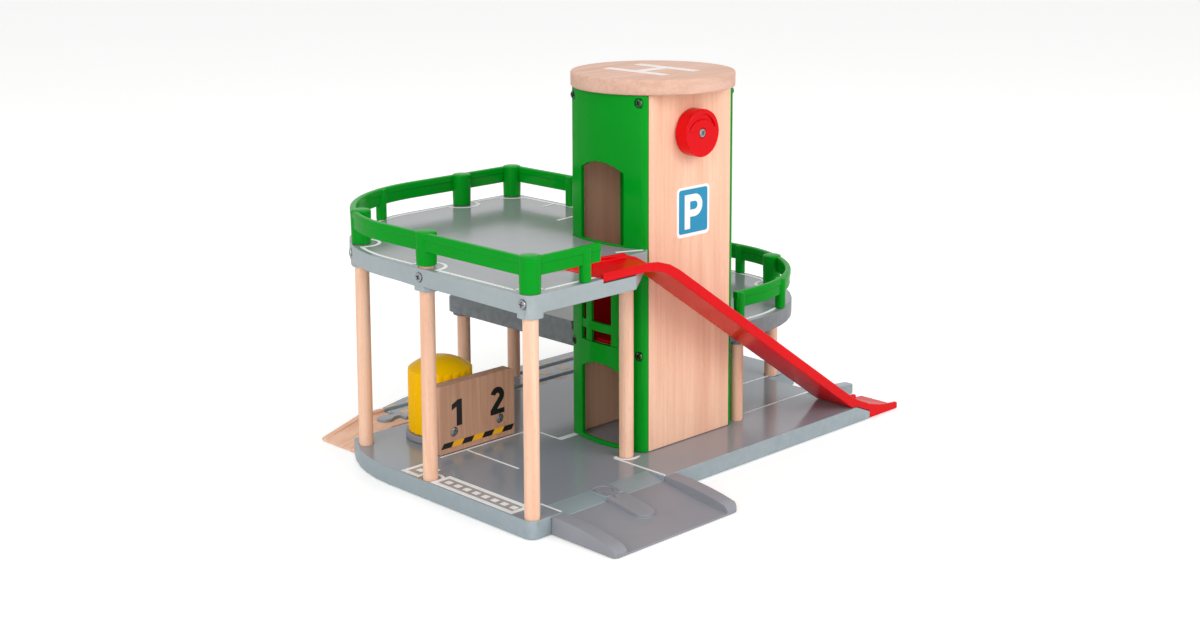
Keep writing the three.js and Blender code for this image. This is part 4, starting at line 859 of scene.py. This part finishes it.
pattern = screw_pattern()
screws_on_points = screw_tree()
print("screw pattern:", len(pattern.data.polygons), "faces")

# %% Every screw in its place
def outward_of(node):
    if node.startswith("screw_under"):
        return Vector((0, 0, -1))
    if "left_shell" in node or node.endswith(("front_left", "side_left")):
        return Vector((-1, 0, 0))
    if "right_shell" in node:
        return Vector((1, 0, 0))
    if "number_wall" in node or node == "knob_screw":
        return Vector((0, -1, 0))
    if node.endswith(("sweep_left", "sweep_right")):
        aim = LEFT_AIM if node.endswith("left") else RIGHT_AIM
        return Vector((*on_circle(0, 0, 1, aim), 0))
    return Vector((0, 1, 0))


def head_of(node):
    aim = outward_of(node)
    spots = [v.co.copy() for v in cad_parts[node].data.vertices]
    reach = max(s.dot(aim) for s in spots)
    outer = [s for s in spots if s.dot(aim) > reach - 1e-5]
    low = Vector([min(s[k] for s in outer) for k in range(3)])
    high = Vector([max(s[k] for s in outer) for k in range(3)])
    return (low + high) / 2, aim


def set_screws(name, nodes, body, seed, finish=steel):
    heads = [head_of(node) for node in nodes]
    points = loose_mesh(name, [place for place, _ in heads])
    aims = points.data.attributes.new("outward", "FLOAT_VECTOR", "POINT")
    for i, (_, aim) in enumerate(heads):
        aims.data[i].vector = aim
    run_maker(points, screws_on_points, {"Screw": pattern, "Seed": seed, "Finish": finish})
    settle(points, finish, body, nodes)
    print(name, len(nodes), "screws,", len(points.data.polygons), "faces")


all_screws = sorted(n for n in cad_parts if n.startswith("screw_"))
shell_screws = [n for n in all_screws if "_shell" in n]
garage_screws = [n for n in all_screws if "_shell" not in n]
set_screws("garage_screws", garage_screws, "garage", 4)
# The shell screws get the steel with painted shade and painted green reflection.
set_screws("shell_screws", shell_screws, "garage", 6, shell_screw_steel_painted_shade)
set_screws("knob_centre_screw", ["knob_screw"], "winding_gear", 9)
bpy.data.objects.remove(pattern)

# %% [markdown]
# ## Roof, tank and knob
# The roof is a thick beech disc with a soft edge. The tank is a moulded drum with shallow flutes
# whose lines run into its low dome, which a rule describes well: the distance from the axis
# depends on the angle, and the height on how far along the profile a point is. A Geometry Nodes
# tree bends a flat grid by that rule. The knob is a scalloped disc with a crescent pressed into
# its face for a fingertip.

# %% Roof disc
TOWER_MIDDLE = (181, 70)
ROOF_RADIUS, ROOF_DEPTH, ROOF_SOFT, ROOM_FOR_MARK = 57.7, 11, 1.3, 0.25


def make_roof():
    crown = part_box("roof_disc")[1].z * 1000
    top, under = crown - ROOM_FOR_MARK, crown - ROOF_DEPTH
    soft = [(ROOF_RADIUS - ROOF_SOFT + ROOF_SOFT * math.sin(t), ROOF_SOFT - ROOF_SOFT * math.cos(t))
            for t in [math.radians(a) for a in (90, 67, 45, 22, 0)]]
    profile = [(0, under), *[(a, under + b) for a, b in reversed(soft)],
               *[(a, top - b) for a, b in soft], (0, top)]
    bm = bmesh.new()
    turned(bm, *TOWER_MIDDLE, profile, 160)
    finish_faces(bm)
    piece = from_bmesh("roof_disc_turned", bm)
    smooth_but_sharp(piece, 35)
    settle(piece, roof_beech, instead_of=("roof_disc",))
    print("roof", round(under, 1), "to", round(top, 1), "mm")


make_roof()

# %% Tank
TANK_MIDDLE, TANK_RADIUS, TANK_DOME = (63, 165.5), 0.023, 0.0085
FLUTES, FLUTE_DEPTH, STEPS_PER_FLUTE, STEPS_UP = 22, 0.0009, 12, 41
FOOT_SHARE, SHOULDER_SHARE, FLUTES_END = 0.1, 0.5, 0.54


def tank_tree():
    tree, give, take = new_maker("fluted_tank", [
        ("NodeSocketVector", "Centre", (0, 0, 0)), ("NodeSocketFloat", "Radius", TANK_RADIUS),
        ("NodeSocketFloat", "Height", 0.0445), ("NodeSocketFloat", "Dome", TANK_DOME),
        ("NodeSocketInt", "Flutes", FLUTES), ("NodeSocketFloat", "Flute depth", FLUTE_DEPTH),
        ("NodeSocketMaterial", "Finish", None)])
    grid = add(tree, "GeometryNodeMeshGrid", {
        "Size X": 1.0, "Size Y": 1.0, "Vertices X": FLUTES * STEPS_PER_FLUTE + 1,
        "Vertices Y": STEPS_UP})
    flat = add(tree, "GeometryNodeInputPosition").outputs[0]
    spot = add(tree, "ShaderNodeSeparateXYZ", {0: flat})
    angle = maths(tree, "MULTIPLY", maths(tree, "ADD", spot.outputs["X"], 0.5), 2 * math.pi)
    along = maths(tree, "ADD", spot.outputs["Y"], 0.5)
    lobe = maths(tree, "MULTIPLY", maths(tree, "MULTIPLY", angle, give["Flutes"]), 0.5)
    lobe = maths(tree, "SUBTRACT", 1.0, maths(tree, "ABSOLUTE", maths(tree, "COSINE", lobe)))
    lobe = maths(tree, "MULTIPLY", lobe, spread(tree, along, SHOULDER_SHARE, FLUTES_END,
                                                   1.0, 0.0))
    radius = maths(tree, "SUBTRACT", give["Radius"],
                   maths(tree, "MULTIPLY", lobe, give["Flute depth"]))
    out = spread(tree, along, 0.0, FOOT_SHARE)
    back = spread(tree, along, SHOULDER_SHARE, 1.0)
    share = maths(tree, "MINIMUM", out, maths(tree, "SUBTRACT", 1.0, back))
    radius = maths(tree, "MULTIPLY", radius, share)
    side = maths(tree, "MULTIPLY", spread(tree, along, FOOT_SHARE, SHOULDER_SHARE),
                 give["Height"])
    square = maths(tree, "MULTIPLY", give["Radius"], give["Radius"])
    rise2 = maths(tree, "MULTIPLY", give["Dome"], give["Dome"])
    curve = maths(tree, "DIVIDE", maths(tree, "ADD", square, rise2),
                  maths(tree, "MULTIPLY", give["Dome"], 2.0))
    cap = maths(tree, "SQRT", maths(tree, "SUBTRACT", maths(tree, "MULTIPLY", curve, curve),
                                    maths(tree, "MULTIPLY", radius, radius)))
    cap = maths(tree, "SUBTRACT", cap, maths(tree, "SUBTRACT", curve, give["Dome"]))
    cap = maths(tree, "MULTIPLY", cap, maths(tree, "GREATER_THAN", along,
                                           (FOOT_SHARE + SHOULDER_SHARE) / 2))
    height = maths(tree, "ADD", side, cap)
    place = add(tree, "ShaderNodeCombineXYZ", {
        "X": maths(tree, "MULTIPLY", radius, maths(tree, "COSINE", angle)),
        "Y": maths(tree, "MULTIPLY", radius, maths(tree, "SINE", angle)), "Z": height})
    moved = add(tree, "ShaderNodeVectorMath", {0: place.outputs[0], 1: give["Centre"]},
                operation="ADD")
    bent = add(tree, "GeometryNodeSetPosition", {
        "Geometry": grid.outputs["Mesh"], "Position": moved.outputs[0]})
    closed = add(tree, "GeometryNodeMergeByDistance", {
        "Geometry": bent.outputs[0], "Distance": 1e-5})
    return end_maker(tree, give, take, closed.outputs[0])


low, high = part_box("tank")
centre = plan(*TANK_MIDDLE, low.z * 1000)
tank = loose_mesh("fluted_tank", [centre])
run_maker(tank, tank_tree(), {
    "Centre": tuple(centre), "Radius": TANK_RADIUS, "Height": high.z - low.z - TANK_DOME,
    "Dome": TANK_DOME, "Flutes": FLUTES, "Flute depth": FLUTE_DEPTH, "Finish": yellow})
bm = bmesh.new()
bm.from_mesh(tank.data)
bmesh.ops.recalc_face_normals(bm, faces=bm.faces[:])
bm.to_mesh(tank.data)
bm.free()
rounded_edges(tank, 0.5, 2, 40)
settle(tank, yellow, instead_of=("tank",))
print("tank", len(tank.data.polygons), "faces, box", [round(v, 4) for v in (*low, *high)])

# %% Knob
def prism_y(bm, points, front, back):
    one = [bm.verts.new(plan(x, front, z)) for x, z in points]
    two = [bm.verts.new(plan(x, back, z)) for x, z in points]
    join_rings(bm, one, two)
    bm.faces.new(list(reversed(one)))
    bm.faces.new(two)
    bmesh.ops.recalc_face_normals(bm, faces=bm.faces[:])


def cut_away(piece, tools):
    for tool in tools:
        step = piece.modifiers.new("cut", "BOOLEAN")
        step.operation, step.solver, step.object = "DIFFERENCE", "EXACT", tool
    plain_mesh(piece)
    for tool in tools:
        bpy.data.objects.remove(tool)


KNOB_X, KNOB_Z, KNOB_RADIUS, KNOB_LOBES, LOBE_DEPTH = 181, 232, 16.7, 8, 0.08
KNOB_ANGLES = [math.radians(k * 2) for k in range(180)]
HOLLOW_RADIUS, CRESCENT_RADIUS, CRESCENT_DEPTH = 12.9, 13.2, 1.7
KEEP_RADIUS, KEEP_DROP = 15.6, 6.2
SEAT_RADIUS, SEAT_DEPTH, BOSS_RADIUS, FACE_SKIN, OVERRUN = 3.4, 1.8, 5.4, 3.4, 1


def knob_ring(radius, drop=0, lobe=0, every=1):
    reach = [(radius - lobe * (1 - math.cos(KNOB_LOBES * t)), t) for t in KNOB_ANGLES[::every]]
    return [(KNOB_X + r * math.cos(t), KNOB_Z - drop + r * math.sin(t)) for r, t in reach]


def knob_solid(name, ring, front, back):
    bm = bmesh.new()
    prism_y(bm, ring, front, back)
    return from_bmesh(name, bm)


def make_knob():
    front, back = plan_fronts("knob")
    knob = knob_solid("winding_knob", knob_ring(KNOB_RADIUS, lobe=LOBE_DEPTH), front, back)
    crescent = knob_solid("crescent_tool", knob_ring(CRESCENT_RADIUS), front - OVERRUN,
                          front + CRESCENT_DEPTH)
    cut_away(crescent, [knob_solid("crescent_keep", knob_ring(KEEP_RADIUS, KEEP_DROP),
                                   front - 2 * OVERRUN, front + 2.5)])
    cut_away(knob, [
        crescent,
        knob_solid("cavity_tool", knob_ring(HOLLOW_RADIUS), front + FACE_SKIN, back + OVERRUN),
        knob_solid("screw_seat_tool", knob_ring(SEAT_RADIUS, every=6), front - OVERRUN,
                   front + SEAT_DEPTH)])
    bm = bmesh.new()
    bm.from_mesh(knob.data)
    prism_y(bm, knob_ring(BOSS_RADIUS, every=4), front + 1.9, back - 0.8)
    bm.to_mesh(knob.data)
    bm.free()
    rounded_edges(knob, 0.7, 3, 35)
    settle(knob, red, "winding_gear", ("knob",))
    print("knob", len(knob.data.polygons), "faces, from y", round(front, 1), "to", round(back, 1))


make_knob()

# %% [markdown]
# ## Printed marks
# Lines, numbers and the blue sign are thin films on the real surfaces. They are built as sheets a
# tenth of a millimetre thick: a stroke follows a path with a given width, a patch fills an
# outline, and both can lie on a road or stand on a wall. All of them are plain shapes. Marks that
# cross each other would flicker if their tops lay in one plane, so each gets a level of its own.

# %% Strokes and patches
FILM, SUNK = 0.12, -0.03
LEVEL_STEP, LEVELS = 0.008, 13


def on_road(level):
    return lambda u, v, h: plan(u, v, level + h)


def on_wall(face):
    return lambda u, v, h: plan(u, face - h, v)


def own_level(bm):
    return LEVEL_STEP * (len(bm.faces) * 5 % LEVELS)


def add_patch(bm, outline, space, base=SUNK, top=FILM):
    top += own_level(bm)
    lower = [bm.verts.new(space(u, v, base)) for u, v in outline]
    upper = [bm.verts.new(space(u, v, top)) for u, v in outline]
    bm.faces.new(upper)
    bm.faces.new(list(reversed(lower)))
    join_rings(bm, lower, upper)


def add_stroke(bm, points, width, space, closed=False, base=SUNK, top=FILM):
    top += own_level(bm)
    path = [Vector(p) for p in points]
    sides = [(p - n * width / 2, p + n * width / 2) for p, n in zip(path, across(path, closed))]
    quads = [[bm.verts.new(space(*spot, h)) for spot, h in
              ((a, base), (b, base), (b, top), (a, top))] for a, b in sides]
    pairs = list(zip(quads, quads[1:])) + ([(quads[-1], quads[0])] if closed else [])
    for one, two in pairs:
        join_rings(bm, one, two)
    if not closed:
        bm.faces.new(quads[0])
        bm.faces.new(list(reversed(quads[-1])))


def film(name, bm, material):
    bmesh.ops.recalc_face_normals(bm, faces=bm.faces[:])
    piece = from_bmesh(name, bm)
    settle(piece, material)
    print(name, len(piece.data.polygons), "faces")


def box_outline(x0, x1, y0, y1, radius=0.0):
    if not radius:
        return [(x0, y0), (x1, y0), (x1, y1), (x0, y1)]
    return [tuple(p) for p in corner_path(
        [(x0, y0, radius), (x1, y0, radius), (x1, y1, radius), (x0, y1, radius)], step=12)]


# %% Number wall: hazard stripe and the bay numbers
STRIPES = 7
STRIPE_LEFT, STRIPE_RIGHT, STRIPE_LOW, STRIPE_HIGH, STRIPE_LEAN = 32.9, 100.1, 16.3, 20.1, 2.6
ROUND_STEP = 8
ONE = [(47.2, 30.5), (52.0, 30.5), (52.0, 49.2), (48.6, 49.2), (43.0, 46.4), (43.0, 42.4),
       (47.2, 44.4)]
TWO_BOWL, TWO_WIDTH = [*arc(84.6, 44.0, 4.1, 165, -34, ROUND_STEP), (80.0, 32.8)], 4.3
TWO_FOOT = box_outline(78.2, 91.0, 30.6, 34.2)


def make_wall_prints():
    face = on_wall(plan_fronts("number_wall")[0])
    dark, bright = bmesh.new(), bmesh.new()
    step = (STRIPE_RIGHT - STRIPE_LEFT - STRIPE_LEAN) / STRIPES
    for k in range(STRIPES):
        x0, x1 = STRIPE_LEFT + k * step, STRIPE_LEFT + (k + 1) * step
        stripe = [(x0, STRIPE_LOW), (x1, STRIPE_LOW), (x1 + STRIPE_LEAN, STRIPE_HIGH),
                  (x0 + STRIPE_LEAN, STRIPE_HIGH)]
        add_patch(dark if k % 2 == 0 else bright, stripe, face)
    add_patch(dark, ONE, face)
    add_stroke(dark, TWO_BOWL, TWO_WIDTH, face)
    add_patch(dark, TWO_FOOT, face)
    film("wall_dark_print", dark, black_ink)
    film("wall_yellow_print", bright, yellow_ink)


make_wall_prints()

# %% Parking sign on the tower and the landing mark on the roof
SIGN_PLATE = box_outline(167, 200, 158.4, 193.6, 3.2)
SIGN_FIELD = box_outline(169, 198, 160.8, 191.8, 1.9)
FIELD_TOP, LETTER_TOP = FILM * 1.6, FILM * 2.2
P_STEM = box_outline(174.7, 180.2, 163.8, 188.0)
P_BOWL = [(180.2, 185.5), *arc(184.8, 180.1, 5.4, 90, -90, ROUND_STEP), (180.2, 174.7)]
P_WIDTH = 5.0
H_BARS, H_HALF, MARK_LEVEL = (165.5, 196.5), 4, 271.75


def make_sign():
    face = on_wall(plan_fronts("tower_front_wall")[0])
    plate, field, letter = bmesh.new(), bmesh.new(), bmesh.new()
    add_patch(plate, SIGN_PLATE, face)
    add_patch(field, SIGN_FIELD, face, FILM, FIELD_TOP)
    add_patch(letter, P_STEM, face, FIELD_TOP, LETTER_TOP)
    add_stroke(letter, P_BOWL, P_WIDTH, face, base=FIELD_TOP, top=LETTER_TOP)
    film("sign_plate", plate, white_ink)
    film("sign_field", field, blue_ink)
    film("sign_letter", letter, white_ink)


def make_roof_mark():
    roof = on_road(MARK_LEVEL)
    mark = bmesh.new()
    for x in H_BARS:
        add_patch(mark, box_outline(x - H_HALF, x + H_HALF, 43, 100), roof)
    add_patch(mark, box_outline(H_BARS[0] + H_HALF, H_BARS[1] - H_HALF, 67.5, 75.5), roof)
    film("roof_mark", mark, roof_ink)


make_sign()
make_roof_mark()

# %% Squares and ties, one tree for both
def tile_tree():
    tree, give, take = new_maker("tiles_on_points", [
        ("NodeSocketVector", "Tile size", (0.004, 0.004, 0.00015)),
        ("NodeSocketMaterial", "Finish", None)])
    tile = add(tree, "GeometryNodeMeshCube", {"Size": give["Tile size"]})
    placed = add(tree, "GeometryNodeInstanceOnPoints", {
        "Points": give["Geometry"], "Instance": tile.outputs["Mesh"]})
    return end_maker(tree, give, take, placed.outputs[0])


tiles_on_points = tile_tree()
TIE_XS = [78 + 20 * k for k in range(15)]
TRACK_MIDDLE, DASH_ROWS = 224.5, (205.8, 243.2)
TILES = [
    ("walkway_squares", white_ink, "white_print", (0.0042, 0.0048, 0.0004),
     [plan(3.4, 21 + 9.15 * k, ROAD + 0.1) for k in range(8)]),
    ("track_ties", tan_ink, "beech", (0.008, 0.010, 0.0002),
     [plan(x, TRACK_MIDDLE, ROAD + 0.03) for x in TIE_XS]),
    ("track_dashes", tan_ink, "beech", (0.010, 0.0032, 0.0002),
     [plan(x, y, ROAD + 0.03) for x in TIE_XS for y in DASH_ROWS]),
]
for name, finish, slot, size, spots in TILES:
    tiles = loose_mesh(name, spots)
    run_maker(tiles, tiles_on_points, {"Tile size": size, "Finish": finish})
    settle(tiles, finish)
    print(name, len(tiles.data.polygons), "faces")

# %% Lines on the road plate
ROAD_LINE, RING_LINE = 1.7, 2.4
BAY_LINES = [
    [(31, 127.4), (110, 127.4)], [(54, 126.4), (54, 73)], [(115.5, 118), (115.5, 97)],
    [(114.3, 42), (114.3, -6)], [(20, 14), (20, -5)], [(251, 44), (329, 44)],
    [(305, 93), (338, 93)], [(118, 33), (130, 33)]]
STOP_BAR = box_outline(115, 132, 95.5, 100.5)
FIELDS = [box_outline(-3.6, 10.6, 15, 93), box_outline(-3.0, 13.8, 109, 125)]
FRAMES = [(box_outline(-3.2, 10.2, 15.4, 92.6), 3.4), (box_outline(-2.6, 13.4, 109.4, 124.6), 3.2)]
FIELD_SQUARE = box_outline(3.2, 7.6, 114, 120)
POST_RINGS = [arc(*SIDE_POST, 8.2, -60, 60, ROUND_STEP), arc(124, 40, 8.0, 150, 300, ROUND_STEP)]
GROOVE_ROWS, GROOVE_HALF, GROOVE_DEPTH = (211.5, 237.5), 2.6, 2.4


def make_road_lines():
    road = on_road(ROAD)
    lines, fields, grooves = bmesh.new(), bmesh.new(), bmesh.new()
    for points in BAY_LINES:
        add_stroke(lines, points, ROAD_LINE, road)
    add_patch(lines, STOP_BAR, road)
    for field in FIELDS:
        add_patch(fields, field, road, top=0.05)
    film("road_fields", fields, brown_ink)
    # Pale sheets on the groove floors: painted light and reflection in the shaded grooves.
    for y in GROOVE_ROWS:
        add_patch(grooves, box_outline(72, 366, y - GROOVE_HALF, y + GROOVE_HALF),
                  on_road(ROAD - GROOVE_DEPTH))
    film("groove_floors", grooves, groove_painted_light)
    for outline, width in FRAMES:
        add_stroke(lines, outline, width, road, closed=True)
    add_patch(lines, FIELD_SQUARE, road)
    for ring in POST_RINGS:
        add_stroke(lines, ring, RING_LINE, road)
    film("road_lines", lines, white_ink)


make_road_lines()

# %% Edge lines of the decks, stepping round the posts
ROUND_POST, STEPS_ROUND = 12.5, 14
LONGEST_TURN = math.pi * 1.2
DECK_LINE, BAY_MARK = 2.4, 2.2
BAY_MARKS = [[(188, 192), (202, 194)], [(161, 147), (180, 149)], [(116, 42), (134, 34)]]


def step_round(path, posts, reach):
    result = []
    inside = None
    for point in path:
        near = next((p for p in posts if (point - Vector(p)).length < reach), None)
        if near is None and inside is not None:
            centre, start = inside
            stop = point - centre
            turn = math.atan2(start.x * stop.y - start.y * stop.x, start.dot(stop))
            turn = turn if turn > 0 else turn + 2 * math.pi
            if turn > LONGEST_TURN:
                turn -= 2 * math.pi
            begin = start.normalized() * reach
            result += [centre + Matrix.Rotation(turn * k / STEPS_ROUND, 2) @ begin
                       for k in range(STEPS_ROUND + 1)]
            inside = None
        if near is not None:
            if inside is None:
                centre = Vector(near)
                inside = (centre, (result[-1] if result else point) - centre)
            continue
        result.append(point)
    return result


def fine(path, step=1.0):
    points = []
    for a, b in zip(path, path[1:]):
        count = max(1, int((b - a).length / step))
        points += [a + (b - a) * k / count for k in range(count)]
    return points + [path[-1]]


def make_deck_lines():
    top, mid = on_road(TOP), on_road(MID)
    lines = bmesh.new()
    path = corner_path([(56, 0.6), (-1.6, 0.6, 2), *arc(*TOP_SWEEP, 105.5, 180, 90),
                        (202.4, 244, 2), (202.4, 108)], closed=False)
    path = step_round(fine(path), TOP_POSTS, ROUND_POST)
    add_stroke(lines, path, DECK_LINE, top)
    for points in BAY_MARKS:
        add_stroke(lines, points, BAY_MARK, top)
    path = corner_path([(240, 39.6), *arc(*MID_SWEEP, 94, -90, 0), (351, 243, 2), (216, 243)],
                       closed=False)
    path = step_round(fine(path)[::-1], MID_POSTS, ROUND_POST)
    add_stroke(lines, path, DECK_LINE, mid)
    film("deck_lines", lines, white_ink)


make_deck_lines()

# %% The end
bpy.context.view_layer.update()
